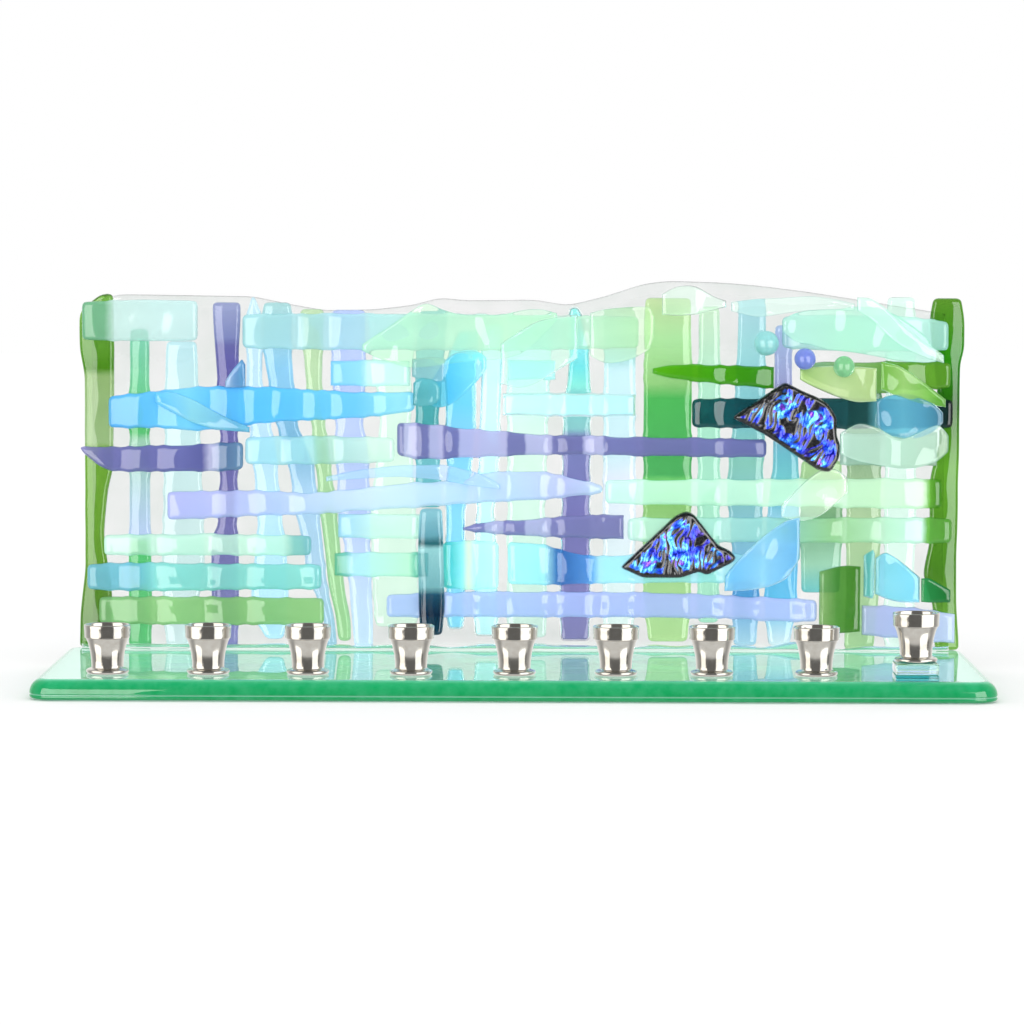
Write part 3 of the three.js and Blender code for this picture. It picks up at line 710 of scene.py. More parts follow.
# Shards of thin glass fused over the strips: how clear they are, their depth, rows and colours.
# Those of depth 0 lie on the level strips, and those of depth 1 on the ones of depth 0.
SHARDS = {
    "clear_crest": (0.97, 0, [(-60, 124.5, 127), (-52, 121, 132.5), (-42, 118, 139.5),
        (-35, 118.5, 144.2), (-30, 119, 141), (-22, 120, 138.6), (-5, 121.5, 138.8), (3, 124, 140.8),
        (10, 130, 141), (16, 137, 139.5)],
        [(-60, 220, 242, 222), (16, 224, 242, 228)]),
    "clear_middle": (0.97, 1, [(-6, 112, 127.5), (2, 110, 133), (8, 112, 136.5), (16, 117, 138),
        (24, 122, 139)],
        [(-6, 214, 240, 236), (24, 218, 242, 230)]),
    "clear_fan": (0.97, 0, [(29, 123, 139.5), (35, 119.5, 141), (44, 121, 142), (52, 125, 142.5),
        (54, 131, 138)],
        [(29, 222, 240, 226), (54, 226, 242, 218)]),
    "clear_top": (0.97, 0, [(57, 139, 147), (63, 138.5, 150.5), (70, 139, 150.8), (77, 141, 146),
        (82, 142, 144.5)],
        [(57, 226, 240, 230), (82, 228, 240, 232)]),
    "clear_top_right": (0.97, 1, [(84, 140.5, 144), (94, 138, 145.4), (104, 139.5, 145.8),
        (115, 141, 146.5), (124, 141.5, 145.4), (132, 140.5, 143.5)],
        [(84, 228, 242, 236), (132, 228, 242, 236)]),
    "mint_veil": (0.75, 0, [(104, 133, 137), (109, 128.5, 140), (115, 127.5, 141), (121, 125.5, 141.3),
        (132, 124.6, 142.5), (141, 123, 142), (150, 121, 138.5), (160, 120.5, 131), (164, 121, 124)],
        [(104, 214, 242, 234), (130, 206, 241, 225), (164, 206, 239, 230)]),
    "mint_fold": (0.8, 1, [(133, 141, 146), (138, 138, 146), (144, 131.5, 142), (151, 126.5, 135),
        (160, 122.5, 128), (167, 120.5, 123.5)],
        [(133, 226, 250, 240), (167, 232, 250, 245)]),
    "olive_facet": (0.5, 0, [(111, 114, 117.5), (116, 111, 119), (124, 107.5, 119.4), (133, 104.8, 119),
        (141, 105.5, 118.4)],
        [(111, 176, 210, 130), (126, 206, 226, 176), (141, 196, 220, 160)]),
    "leaf_fold": (0.5, 0, [(142.5, 110, 121), (150, 107, 119.5), (158, 104.5, 114), (168, 103.2, 106)],
        [(142, 120, 190, 60), (152, 176, 218, 138), (168, 110, 186, 60)]),
    "steel_chunk": (0.7, 0, [(141, 96, 105), (144.5, 92, 107.6), (150, 91, 108.6), (156, 90.4, 108.2),
        (163, 93, 105), (167, 97, 101)],
        [(141, 104, 176, 200), (152, 128, 196, 216), (167, 96, 168, 196)]),
    "clear_knot": (0.95, 1, [(127, 85, 93), (134, 82, 97.5), (142, 80.5, 95), (150, 79, 90),
        (158, 79.5, 93.5), (165, 82, 97), (169, 86, 92)],
        [(127, 232, 246, 240), (169, 230, 246, 238)]),
    "clear_wedge": (0.95, 0, [(104, 60, 64.5), (112, 58, 73), (120, 60.5, 79.5), (126, 66, 79),
        (130, 70, 75)],
        [(104, 236, 250, 244), (130, 246, 252, 238)]),
    "sky_wedge": (0.6, 0, [(82, 31, 37), (90, 31, 46), (98, 32, 53.5), (106, 35, 59), (111.5, 44, 60)],
        [(82, 140, 208, 246), (98, 176, 224, 246), (111, 146, 206, 240)]),
    "cyan_crystal": (0.7, 0, [(141, 30, 44), (145, 28, 47), (150, 26.6, 43.5), (158.5, 26.6, 36.5)],
        [(141, 150, 214, 230), (158, 150, 220, 244)]),
    "deep_green_facet": (0.6, 0, [(159, 27, 36), (162, 26.6, 36.4), (170.5, 26.8, 31.5)],
        [(159, 60, 168, 100), (170, 40, 140, 70)]),
    "teal_crystal": (0.7, 0, [(136.4, 29, 45), (140, 28, 47.5), (140.8, 30, 46)],
        [(136, 110, 190, 196), (141, 130, 205, 210)]),
    "pale_ribbon": (0.9, 1, [(-74, 73.5, 75.5), (-62, 74.5, 78), (-45, 75.5, 80), (-28, 74, 80.3),
        (-14, 71.5, 77), (-6, 70.5, 72.5)],
        [(-74, 206, 232, 252), (-6, 214, 230, 254)]),
    "sky_twist": (0.5, 0, [(-141, 104, 108.4), (-134, 100, 108.6), (-126, 96.2, 105.5), (-117, 93.6, 100),
        (-104, 92.4, 94.6)],
        [(-141, 120, 212, 248), (-126, 166, 228, 236), (-104, 120, 196, 226)]),
    "steel_fold": (0.5, 0, [(-113.5, 110.2, 112.5), (-110, 110, 118), (-107, 110, 121.6),
        (-105.6, 110.2, 119)],
        [(-113.5, 200, 226, 244), (-109, 130, 180, 220), (-105.6, 96, 160, 206)]),
    "blue_crumple": (0.85, 0, [(-34.5, 104, 110), (-31, 102, 116.5), (-26, 103, 123.5), (-20, 108, 124.8),
        (-14, 114, 124.5), (-11.5, 118, 122)],
        [(-34, 110, 206, 216), (-25, 130, 216, 244), (-11, 180, 240, 252)]),
    "teal_crumple": (0.7, 1, [(-40, 103.5, 112), (-37, 102.5, 114.4), (-32, 103.5, 113.6),
        (-29.5, 106, 110.5)],
        [(-40, 120, 196, 204), (-29, 136, 214, 220)]),
    "grey_plate": (0.75, 0, [(-40.5, 114.6, 121.4), (-36, 113, 122), (-30, 111.8, 122.2),
        (-27.6, 113, 121.6)],
        [(-40, 172, 212, 216), (-28, 188, 224, 226)]),
}
SHARD_THICKNESS = 1.15 * MM
SHARD_BED = 0.2 * MM
SHARD_SLOTS = {"mint": "glass_mint", "olive": "glass_olive_green", "leaf": "glass_border_green",
               "steel": "glass_teal", "sky": "glass_sky", "cyan": "glass_pale_cyan",
               "deep": "glass_green", "teal": "glass_teal", "blue": "glass_sea_blue"}

# The adhesive bead, in millimetres but for how near and thick it is, and its colours.
BEAD_REACH = 170
BEAD_BOTTOM, BEAD_TOP = 7.7, 9.6
BEAD_WAVE, BEAD_WAVE_LENGTH = 3.2, 17
BEAD_NEAR = 2.6 * MM
BEAD_THICKNESS = 2.5 * MM
BEAD_STOPS = [(-170, 176, 228, 206), (-60, 150, 218, 190), (70, 186, 236, 216), (170, 150, 220, 196)]


def strip_groups():
    """The strips of the uprights' layer, of the level layer, and in front of both."""
    slots = {entry["node"]: entry["material_slot"] for entry in frame["record"]["subparts"]}
    uprights, levels, fronts = [], [], []
    for name, (clarity, stops) in STRIP_LOOKS.items():
        upright = not name.startswith("level")
        group, layer = (uprights, UPRIGHT_LAYER) if upright else (levels, LEVEL_LAYER)
        if name == "upright_10_navy":
            group, layer = fronts, FRONT_LAYER
        group.append(Strip(name, node_outline(name), upright, stops, clarity, slots[name], layer, name))
    for name, (clarity, slot, rows, stops) in EXTRA_LEVELS.items():
        levels.append(Strip(name, rows_outline(rows), False, stops, clarity, slot, LEVEL_LAYER))
    return uprights, levels, fronts


def crumpled(name, rows, stops, clarity, slot, near, thickness):
    """A crumpled piece between near and thickness behind it."""
    layer = [Vector((0, y, 0)) for y in (near, near + thickness)]
    return Strip(name, rows_outline(rows), False, stops, clarity, slot, layer, crumple=SHARD_CRUMPLE)


def shard_strips():
    shards = []
    for name, (clarity, depth, rows, stops) in SHARDS.items():
        near = LEVEL_LAYER[0].y + SHARD_BED - (depth + 1) * SHARD_THICKNESS
        slot = SHARD_SLOTS.get(name.split("_")[0], "glass_clear")
        shards.append(crumpled("shard_" + name, rows, stops, clarity, slot, near, SHARD_THICKNESS))
    return shards


def adhesive_bead():
    """The wavy bead of clear adhesive along the panel's foot."""
    rows = []
    for x in range(-BEAD_REACH, BEAD_REACH + 1, 4):
        rows.append((x, BEAD_BOTTOM, BEAD_TOP + BEAD_WAVE * ripple(x, 0, 61, BEAD_WAVE_LENGTH)))
    near = LEVEL_LAYER[0].y - BEAD_NEAR
    return crumpled("adhesive_bead", rows, BEAD_STOPS, 0.85, "glass_clear", near, BEAD_THICKNESS)


uprights, levels, fronts = strip_groups()
find_crossings(uprights, levels)
for number, strip in enumerate(uprights + levels + fronts + shard_strips() + [adhesive_bead()]):
    strip_piece(strip, 3.7 * number)


# ------------------------------------------------------------ backing sheet

SHEET_RIM = 1.5 * MM
SHEET_STEP = 2 * MM
SHEET_ROWS = 31
SHEET_WAVE = 0.12 * MM
SHEET_WAVE_LENGTH = 22 * MM


def back_sheet():
    """The clear backing sheet, slightly wavy on both faces, with a soft rim."""
    sheet = Strip("sheet", node_outline("panel_back_sheet"), False, None, 1, None, SHEET)
    low_y, high_y, bottom = SHEET[0].y + LAYER_GAP, SHEET[1].y, SHEET[0].z
    middle, half = (low_y + high_y) / 2, (high_y - low_y) / 2
    stations = graded(sheet.start, sheet.end, SHEET_RIM, SHEET_STEP)
    tops = smoothed(stations, [sheet.edges(s)[1] for s in stations], 4 * MM, 5 * MM)
    vertices, front, back = [], [], []
    for side, grid in ((-1, front), (1, back)):
        for i, (s, top) in enumerate(zip(stations, tops)):
            end = rounded(min(s - sheet.start, sheet.end - s), SHEET_RIM)
            heights = graded(bottom, top, SHEET_RIM, count=SHEET_ROWS)
            grid.append([])
            for j, z in enumerate(heights):
                if side == 1 and (i in (0, len(stations) - 1) or j in (0, len(heights) - 1)):
                    grid[i].append(front[i][j])
                    continue
                rim = end * rounded(min(z - bottom, top - z), SHEET_RIM)
                wave = SHEET_WAVE * ripple(s, z, 40 + side, SHEET_WAVE_LENGTH) * rim
                grid[i].append(len(vertices))
                vertices.append((s, middle + side * half * rim + wave, z))
    faces = two_sided_faces(front, back)
    material = clear_glass("backing_glass", (228, 233, 230), clearest=0.88)
    add_mesh("backing_sheet", vertices, faces, material, ["panel_back_sheet"])


back_sheet()


# --------------------------------------------------------------------- base

BASE_CORNER = 9 * MM
BASE_ROUND = 5.2 * MM
CORNER_STEPS = 14
ROUND_STEPS = 28

# Rings of the base below its rounded top, (inset, height) in millimetres: the first ones are
# above its underside, and the seam's are above or below the seam.
FOOT_RINGS = [(1.6, 0), (0.7, 0.1), (0.15, 0.6), (0, 1.1)]
SEAM_RINGS = [(0.05, -0.3), (0.4, 0), (0.05, 0.3)]
SEAM_LIP = 0.4 * MM
RIM_FADE = 1.2 * MM


def base_ring(inset, z):
    """One level ring of the base's rounded outline, drawn in by inset."""
    half_x = (BASE_HIGH[1].x - BASE_HIGH[0].x) / 2
    half_y = (BASE_HIGH[1].y - BASE_HIGH[0].y) / 2
    cx, cy = half_x - BASE_CORNER, half_y - BASE_CORNER
    radius = max(BASE_CORNER - inset, 0.2 * MM)
    ring = []
    for quarter, (x, y) in enumerate(((cx, cy), (-cx, cy), (-cx, -cy), (cx, -cy))):
        for k in range(CORNER_STEPS + 1):
            angle = (quarter + k / CORNER_STEPS) * math.pi / 2
            ring.append((x + radius * math.cos(angle), y + radius * math.sin(angle), z))
    return ring


def base_rings():
    """(Inset, height) of the base's rings, from its underside to the edge of its flat top."""
    top, seam = BASE_HIGH[1].z, BASE_HIGH[0].z
    rings = [(inset * MM, z * MM) for inset, z in FOOT_RINGS]
    rings += [(inset * MM, seam + z * MM) for inset, z in SEAM_RINGS]
    for k in range(1, ROUND_STEPS + 1):
        angle = k / ROUND_STEPS * math.pi / 2
        height = seam + SEAM_LIP + (top - seam - SEAM_LIP) * math.sin(angle)
        rings.append((BASE_ROUND * (1 - math.cos(angle)), height))
    return rings


def base_piece():
    """Both fused sheets of the base as one body, with the seam as a fine groove round the edge."""
    rings = base_rings()
    vertices = [point for inset, z in rings for point in base_ring(inset, z)]
    count = len(vertices) // len(rings)
    faces = ring_faces(len(rings), count)
    faces += [range(count), range(len(vertices) - count, len(vertices))]
    sheets = ["base_lower_sheet", "base_upper_sheet"]
    piece = add_mesh("base_slab", vertices, faces, base_glass(), sheets)
    marks = []
    for inset, z in rings:
        marks += [min(1, (BASE_ROUND - inset) / RIM_FADE) if z > 0 else 0] * count
    mark_points(piece, "rim", marks)
    piece.visible_glossy = False
    mark_flat(piece)


base_piece()

BUBBLES = 520
NEAR_SHARE = 0.72
BUBBLE_SIZES = (0.1, 0.12, 0.15, 0.2, 0.3)
BUBBLE_CORNERS = ((1, 0, 0), (-1, 0, 0), (0, 1, 0), (0, -1, 0), (0, 0, 1), (0, 0, -1))
BUBBLE_FACES = ((0, 2, 4), (2, 1, 4), (1, 3, 4), (3, 0, 4), (2, 0, 5), (1, 2, 5), (3, 1, 5), (0, 3, 5))


def seed_bubbles():
    """Tiny bubbles trapped in the base, most of them near its front edge, drawn as white glowing specks: a
    painted glint for the light that they catch.
    """
    rng = random.Random(7)
    vertices, faces = [], []
    half_x, front = BASE_HIGH[1].x - 8 * MM, BASE_HIGH[0].y
    seam, thick = BASE_HIGH[0].z, BASE_HIGH[1].z - BASE_HIGH[0].z
    for _ in range(BUBBLES):
        x = rng.uniform(-half_x, half_x)
        near = rng.random() < NEAR_SHARE
        depth = (rng.uniform(1.2, 9) if near else rng.uniform(9, 60)) * MM
        z = rng.uniform(1.0, 5.6) * MM if near else rng.uniform(2, 6.6) * MM
        z = min(z, seam + thick * min(1, depth / BASE_ROUND) - 0.5 * MM)
        size = rng.choice(BUBBLE_SIZES) * MM
        centre = Vector((x, front + depth, max(z, 0.6 * MM)))
        start = len(vertices)
        vertices += [centre + Vector(corner) * size for corner in BUBBLE_CORNERS]
        faces += [(start + a, start + b, start + c) for a, b, c in BUBBLE_FACES]
    # Painted glints: the bubbles are white and glow rather than catching light.
    m = Nodes("bubble_painted_glint")
    tint = m.ramp(m.noise(300), [(0.3, (0.75, 0.9, 0.85, 1)), (0.7, grey(1))])
    m.feed(tint, "Base Color", "Emission Color")
    m.set(Roughness=0.3, Emission_Strength=0.35)
    add_mesh("seed_bubbles", vertices, faces, m.material)


seed_bubbles()


# --------------------------------------------------------------------- cups

# The cup's section, (radius, height) in millimetres above its underside. The walls between the
# points are smooth curves, and the sections meet in soft corners.
CUP_FOOT = [(0, 0), (5, 0), (7.0, 0.02), (7.6, 0.25), (7.9, 0.8), (7.75, 1.35), (7.1, 1.75), (6.6, 1.9)]
CUP_WAIST = [(6.6, 1.9), (6.1, 2.1), (5.93, 2.6), (5.95, 3.6), (6.05, 5.2), (6.3, 7.2), (6.68, 9.2),
             (7.2, 11.2), (7.75, 12.6), (8.0, 13.15)]
CUP_COLLAR = [(8.0, 13.15), (8.2, 13.2), (8.36, 13.35), (8.42, 13.7), (8.5, 15.6), (8.6, 17.4),
              (8.55, 17.9), (8.3, 18.15), (8.05, 18.18)]
CUP_INSIDE = [(8.05, 18.18), (7.8, 18.0), (7.6, 17.4), (7.25, 15.2), (6.85, 13.2), (6.1, 9.6),
              (5.3, 7), (5.0, 6.6), (4.4, 6.5), (0, 6.5)]
AXIS_CLEARANCE = 0.05
CUP_SIDES = 96
CUP_LIFT = 0.02 * MM


def between(a, b, c, d, t):
    """The value t of the way from b to c on a smooth curve through a, b, c and d."""
    bend = (2 * a - 5 * b + 4 * c - d) * t * t + (3 * b - a - 3 * c + d) * t**3
    return 0.5 * (2 * b + (c - a) * t + bend)


def curve_through(points, steps=4):
    """Points on a smooth curve through the given ones."""
    padded = [points[0]] + list(points) + [points[-1]]
    out = []
    for corners in zip(padded, padded[1:], padded[2:], padded[3:]):
        for k in range(steps):
            out.append(tuple(between(*values, k / steps) for values in zip(*corners)))
    return out + [points[-1]]


def turned(profile, x, y, z, sides):
    """Vertices and faces of a closed body turned from a profile that starts and ends on the axis."""
    vertices = [(x, y, z + profile[0][1] * MM)]
    inner = profile[1:-1]
    for radius, height in inner:
        for k in range(sides):
            angle = 2 * math.pi * k / sides
            r = radius * MM
            vertices.append((x + r * math.cos(angle), y + r * math.sin(angle), z + height * MM))
    top = len(vertices)
    vertices.append((x, y, z + profile[-1][1] * MM))
    faces = ring_faces(len(inner), sides, 1)
    for k in range(sides):
        n = (k + 1) % sides
        faces += [(0, 1 + n, 1 + k), (top - sides + k, top - sides + n, top)]
    return vertices, faces


def cup_profile():
    """The whole section, without the points that the curves put almost on the axis."""
    profile = []
    for section in (CUP_FOOT, CUP_WAIST, CUP_COLLAR, CUP_INSIDE):
        profile += curve_through(section)[:-1]
    off_axis = [(radius, height) for radius, height in profile[1:] if radius > AXIS_CLEARANCE]
    return [profile[0]] + off_axis + [CUP_INSIDE[-1]]


METAL = nickel()
PROFILE = cup_profile()
for node in [f"candle_cup_{n}" for n in range(1, 9)] + ["shamash_cup"]:
    low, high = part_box(node)
    middle = (low + high) / 2
    vertices, faces = turned(PROFILE, middle.x, middle.y, low.z + CUP_LIFT, CUP_SIDES)
    add_mesh(node + "_plated", vertices, faces, METAL, [node])


# ------------------------------------------------------------ shamash block

BLOCK_SEAM = 2.3 * MM
BLOCK_SEAM_GAP = 0.02 * MM


def rounded_box(name, low, high, edge, material, replaced):
    """A block of glass with softly rounded edges."""
    work = bmesh.new()
    bmesh.ops.create_cube(work, size=1)
    for v in work.verts:
        v.co = Vector([low[k] + (v.co[k] + 0.5) * (high[k] - low[k]) for k in range(3)])
    bmesh.ops.bevel(work, geom=work.edges[:], offset=edge, segments=5, profile=0.5, affect="EDGES")
    vertices = [v.co.copy() for v in work.verts]
    work.verts.index_update()
    faces = [[v.index for v in f.verts] for f in work.faces]
    work.free()
    add_mesh(name, vertices, faces, material, replaced)


def shamash_block():
    """Teal glass with clear glass fused on it."""
    low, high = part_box("shamash_block")
    seam = low.z + BLOCK_SEAM
    stops = [(low.x / MM, 70, 200, 205), (high.x / MM, 60, 188, 196)]
    teal = strip_glass("block_teal_glass", stops, upright=False, clarity=0.75, painted_glow=0.0)
    clear = clear_glass("block_clear_glass", (214, 240, 232))
    lower_high, upper_low = Vector((high.x, high.y, seam)), Vector((low.x, low.y, seam + BLOCK_SEAM_GAP))
    rounded_box("block_lower", low, lower_high, 0.5 * MM, teal, ["shamash_block"])
    rounded_box("block_upper", upper_low, high, 0.8 * MM, clear, ["shamash_block"])


shamash_block()


# -------------------------------------------------------------------- balls

BALL_COLOURS = {"ball_aqua": (170, 240, 240), "ball_blue": (140, 160, 246), "ball_green": (150, 226, 166)}


def ball_piece(node, colour):
    """A glass ball that melted a little where it touches the panel."""
    low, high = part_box(node)
    radius = (high.x - low.x) / 2
    centre = Vector(((low.x + high.x) / 2, low.y + radius, (low.z + high.z) / 2))
    work = bmesh.new()
    bmesh.ops.create_uvsphere(work, u_segments=48, v_segments=32, radius=radius)
    vertices = []
    work.verts.index_update()
    for v in work.verts:
        bulge = 1 + 0.02 * noise.noise(v.co / (4 * MM))
        point = centre + v.co * bulge
        point.y = min(point.y, high.y - LAYER_GAP)
        vertices.append(point)
    faces = [[v.index for v in f.verts] for f in work.faces]
    work.free()
    material = opal_glass(node + "_glass", colour)
    add_mesh(node + "_fused", vertices, faces, material, [node])


for node, colour in BALL_COLOURS.items():
    ball_piece(node, colour)


# ----------------------------------------------------------------- dichroic

FILM_RINGS = 46
FILM_POINTS = 220
FILM_RIM = 1.6 * MM
FILM_MARGIN = 1.0 * MM
RIDGE = 0.48 * MM
RIDGE_ROOM = 0.5 * MM
RIDGE_WARP = 3.0 * MM
RIDGE_SPACING = 1.9 * MM
RIDGE_LENGTH = 6.5 * MM


def distance_inside(point, outline):
    """Distance from a point to the nearest side of an outline, negative outside it."""
    a, b = outline, np.roll(outline, -1, 0)
    side = b - a
    t = np.clip(((point - a) * side).sum(1) / (side * side).sum(1), 0, 1)
    distance = np.hypot(*(point - (a + side * t[:, None])).T).min()
    crosses = (a[:, 1] > point[1]) != (b[:, 1] > point[1])
    x = a[:, 0] + (point[1] - a[:, 1]) / np.where(b[:, 1] == a[:, 1], 1, b[:, 1] - a[:, 1]) * side[:, 0]
    return distance if (crosses & (point[0] < x)).sum() % 2 else -distance


def outline_points(outline, count):
    """Evenly spaced points round an outline."""
    lengths = np.hypot(*(np.roll(outline, -1, 0) - outline).T)
    marks = np.concatenate([[0], np.cumsum(lengths)])
    closed = np.vstack([outline, outline[:1]])
    at = np.linspace(0, marks[-1], count, endpoint=False)
    return np.stack([np.interp(at, marks, closed[:, k]) for k in (0, 1)], 1)


def crumple_at(x, z, inside, seed, slant):
    """How high the ridges are and how much film shows at a place, each from 0 to 1."""
    across_x, across_z = math.sin(slant), math.cos(slant)
    across = x * across_x - z * across_z + RIDGE_WARP * ripple(x, z, seed + 3, 8 * MM)
    along = x * across_z + z * across_x
    fold = noise.noise(Vector((across / RIDGE_SPACING, along / RIDGE_LENGTH, seed)))
    ridge = 1 - min(1, abs(fold) * 3.2)
    strength = min(1, max(0.0, inside - FILM_MARGIN) / FILM_RIM)
    film = min(1, max(0.0, ridge * 0.8 + 0.16 + ripple(x, z, seed + 20, 7 * MM)))
    return ridge * strength, film * strength


def dichroic_piece(node, seed, slant):
    """Black glass whose front is crumpled into sharp ridges that run at slant degrees."""
    outline = node_outline(node)
    low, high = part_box(node)
    back, body = high.y - LAYER_GAP, high.y - low.y - RIDGE_ROOM
    centre = outline.mean(0)
    rim_points = outline_points(outline, FILM_POINTS)
    vertices, film_marks = [], []
    for r in range(FILM_RINGS):
        for point in rim_points:
            x, z = centre + (point - centre) * (1 - r / FILM_RINGS)
            inside = max(0.0, distance_inside(np.array((x, z)), outline))
            ridge, film = crumple_at(x, z, inside, seed, math.radians(slant))
            vertices.append((x, back - (body + RIDGE * ridge) * rounded(inside, FILM_RIM), z))
            film_marks.append(film)
    middle = len(vertices)
    vertices.append((centre[0], back - body, centre[1]))
    film_marks.append(0.5)
    last_ring = [middle - FILM_POINTS + k for k in range(FILM_POINTS)]
    faces = ring_faces(FILM_RINGS, FILM_POINTS) + [range(FILM_POINTS)]
    faces += [(a, b, middle) for a, b in zip(last_ring, last_ring[1:] + last_ring[:1])]
    material = dichroic_glass(node + "_glass", seed)
    piece = add_mesh(node + "_film", vertices, faces, material, [node])
    mark_points(piece, "ripple", film_marks)
    mark_flat(piece)


dichroic_piece("dichroic_upper", 1.3, 55)
dichroic_piece("dichroic_lower", 8.1, 75)


# --------------------------------------------------------- floor and lights


def softbox(name, edges, reach, height, strength, colour, lit):
    """A softbox between two azimuths, seen only by the pieces in lit.

    edges are in degrees from the front, positive to the right; height is its lowest and
    highest elevation in degrees; strength is its radiance.
    """
    points = [Vector((math.sin(math.radians(a)), -math.cos(math.radians(a)), 0)) * reach for a in edges]
    middle, across = (points[0] + points[1]) / 2, points[1] - points[0]
    low, high = (reach * math.tan(math.radians(e)) for e in height)
    light = bpy.data.lights.new(name, "AREA")
    light.shape = "RECTANGLE"
    light.size, light.size_y = across.length, high - low
    light.energy = 4 * strength * light.size * light.size_y
    light.color = colour
    lamp = bpy.data.objects.new(name, light)
    lamp.rotation_euler = middle.to_track_quat("Z", "Y").to_euler()
    lamp.location = middle + Vector((0, 0, (low + high) / 2))
    lamp.visible_camera = lamp.visible_transmission = lamp.visible_diffuse = False
    lamp.light_linking.receiver_collection = lit
    bpy.context.scene.collection.objects.link(lamp)


# Softboxes by what they light: edges, reach, height, strength and colour, as softbox() takes them.
SOFTBOXES = {
    "metal_left": ((-88, -34), 1.0, (-8, 45), 1.4, (1.0, 0.95, 0.89)),
    "metal_right": ((30, 90), 1.0, (-8, 45), 1.5, (1.0, 1.0, 0.98)),
    "metal_left_low": ((-82, -44), 1.0, (-27, -8), 1.15, (1.0, 0.95, 0.89)),
    "metal_right_low": ((30, 76), 1.0, (-27, -8), 1.15, (1.0, 1.0, 0.98)),
    "glass_left": ((-60, -13), 1.5, (-25, 32), 4.5, (1.0, 0.98, 0.95)),
    "glass_right": ((16, 62), 1.5, (-25, 32), 4.5, (1.0, 1.0, 1.0)),
}
FLOOR_REACH = 4
FLOOR_DROP = 0.3 * MM


def white_floor():
    """A plain white floor, just under the part."""
    mesh = bpy.data.meshes.new("floor")
    corners = ((-1, -1), (1, -1), (1, 1), (-1, 1))
    mesh.from_pydata([(x * FLOOR_REACH, y * FLOOR_REACH, 0) for x, y in corners], [], [(0, 1, 2, 3)])
    floor = bpy.data.objects.new("floor", mesh)
    floor.location.z = -FLOOR_DROP
    bpy.context.scene.collection.objects.link(floor)
    m = Nodes("floor_white")
    m.feed(m.ramp(m.noise(3), [(0.3, grey(0.79)), (0.7, grey(0.81))]), "Base Color", "Emission Color")
    m.set(Roughness=0.9, Specular_IOR_Level=0.0, Emission_Strength=0.06)
    mesh.materials.append(m.material)
    floor.visible_glossy = False
    return floor


def studio():
    """The floor, and softboxes in front: four for the metal and two for the glass."""
    floor = white_floor()
    lit = {name: bpy.data.collections.new("lit_" + name) for name in ("metal", "glass")}
    for item in bpy.context.scene.objects:
        if item.type == "MESH" and item != floor:
            lit["metal" if item.name.endswith("_plated") else "glass"].objects.link(item)
    for name, settings in SOFTBOXES.items():
        softbox(name, *settings, lit[name.split("_")[0]])


class Surround:
    """The world's nodes: how bright it is in a direction, by the kind of ray."""

    def __init__(self):
        world = bpy.data.worlds.new("surround")
        bpy.context.scene.world = world
        world.use_nodes = True
        self.tree = world.node_tree
        self.tree.nodes.clear()
        place = self.add("ShaderNodeTexCoord")
        self.split = self.add("ShaderNodeSeparateXYZ")
        self.link(place.outputs["Generated"], self.split.inputs[0])

    def add(self, kind):
        return self.tree.nodes.new(kind)

    def link(self, source, target):
        self.tree.links.new(source, target)

    def step(self, axis, start, end, low, high):
        """A smooth step from low to high while the direction's axis goes from start to end."""
        node = self.add("ShaderNodeMapRange")
        node.interpolation_type = "SMOOTHSTEP"
        for key, value in (("From Min", start), ("From Max", end), ("To Min", low), ("To Max", high)):
            node.inputs[key].default_value = value
        self.link(self.split.outputs[axis], node.inputs["Value"])
        return node.outputs["Result"]

    def mix(self, factor, first, second):
        node = self.add("ShaderNodeMix")
        for value, slot in ((factor, 0), (first, 2), (second, 3)):
            if isinstance(value, (int, float)):
                node.inputs[slot].default_value = value
            else:
                self.link(value, node.inputs[slot])
        return node.outputs[0]


DAYLIGHT = 1.25


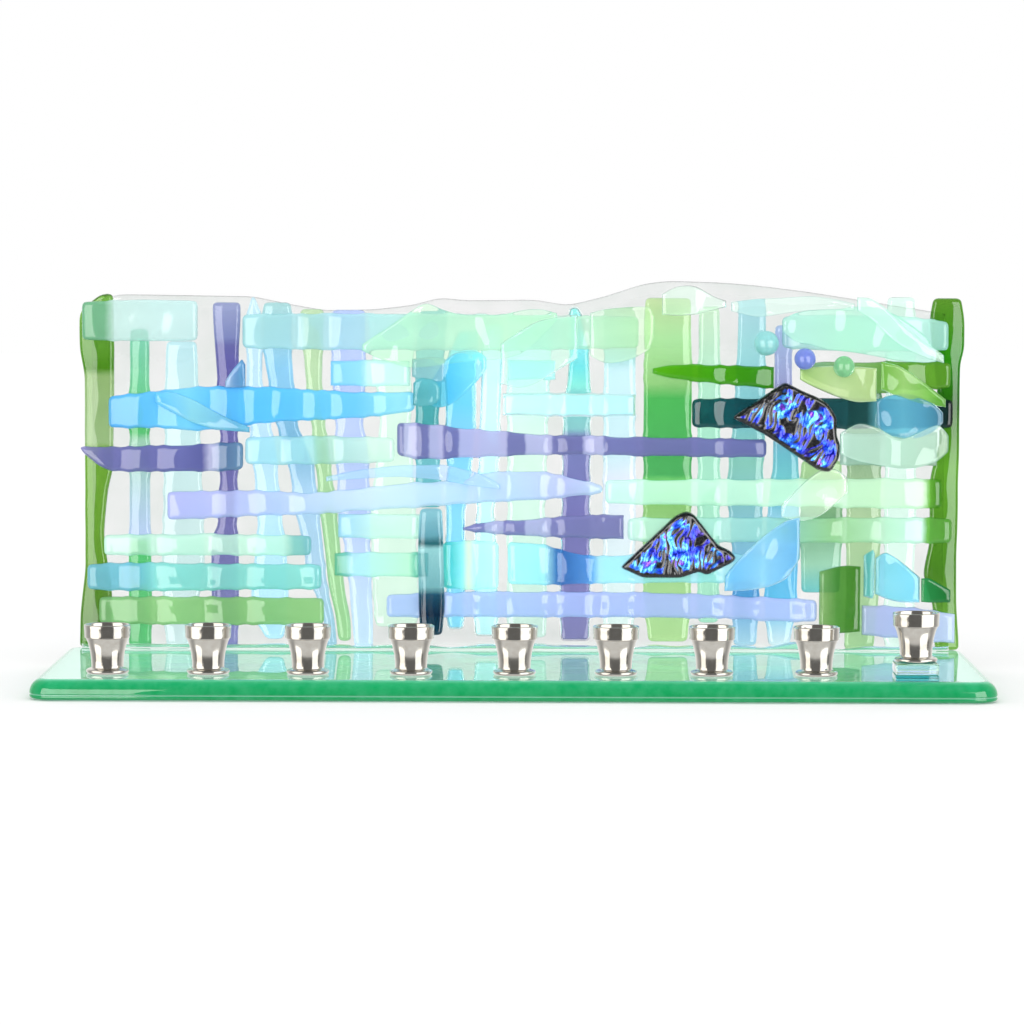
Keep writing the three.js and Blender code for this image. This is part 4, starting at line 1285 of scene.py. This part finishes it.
def surround():
    """White for the camera and for diffuse light; mirror reflections see a dim room in front."""
    w = Surround()
    rays = w.add("ShaderNodeLightPath").outputs
    room = w.mix(w.step("Z", -0.40, -0.34, 0, 1), 0.8, 0.16)
    mirrored = w.mix(w.step("Y", -0.1, 0.2, 0, 1), room, w.step("Y", 0.3, 0.9, 0.45, 1.0))
    seen = w.mix(rays["Is Glossy Ray"], w.mix(rays["Is Camera Ray"], DAYLIGHT, 1.0), mirrored)
    through = w.mix(w.step("Y", -0.4, 0.5, 0, 1), 0.6, w.step("Y", 0.55, 0.93, 0.5, 1.03))
    direct = w.mix(rays["Is Transmission Ray"], seen, through)
    strength = w.mix(rays["Diffuse Depth"], direct, DAYLIGHT)
    background = w.add("ShaderNodeBackground")
    background.inputs["Color"].default_value = (1, 1, 1, 1)
    w.link(strength, background.inputs["Strength"])
    output = w.add("ShaderNodeOutputWorld")
    w.link(background.outputs[0], output.inputs["Surface"])


studio()
surround()


# ------------------------------------------------------------------- camera

CAMERA_PLACE = (0.0097, -1.6070, 0.1746)
CAMERA_PITCH, CAMERA_YAW, CAMERA_ROLL = (math.radians(angle) for angle in (3.892, -0.380, 0.156))
SENSOR_WIDTH = 36
FOCAL_LENGTH = 149.41


def camera():
    """A long lens, a little above the base and very slightly to the right of its middle."""
    level = math.cos(CAMERA_PITCH)
    forward = Vector((math.sin(CAMERA_YAW) * level, math.cos(CAMERA_YAW) * level, -math.sin(CAMERA_PITCH)))
    right = Vector((math.cos(CAMERA_YAW), -math.sin(CAMERA_YAW), 0))
    up = right.cross(forward)
    across = right * math.cos(CAMERA_ROLL) + up * math.sin(CAMERA_ROLL)
    above = up * math.cos(CAMERA_ROLL) - right * math.sin(CAMERA_ROLL)
    data = bpy.data.cameras.new("camera")
    data.sensor_width, data.lens = SENSOR_WIDTH, FOCAL_LENGTH
    data.clip_start, data.clip_end = 0.01, 50
    item = bpy.data.objects.new("camera", data)
    turn = Matrix((across, above, -forward)).transposed()
    item.matrix_world = Matrix.Translation(CAMERA_PLACE) @ turn.to_4x4()
    bpy.context.scene.collection.objects.link(item)
    bpy.context.scene.camera = item


camera()
scene = bpy.context.scene
scene.view_settings.view_transform = "Standard"
scene.cycles.max_bounces = 32
scene.cycles.transmission_bounces = 28
scene.cycles.glossy_bounces = 8
scene.cycles.transparent_max_bounces = 16
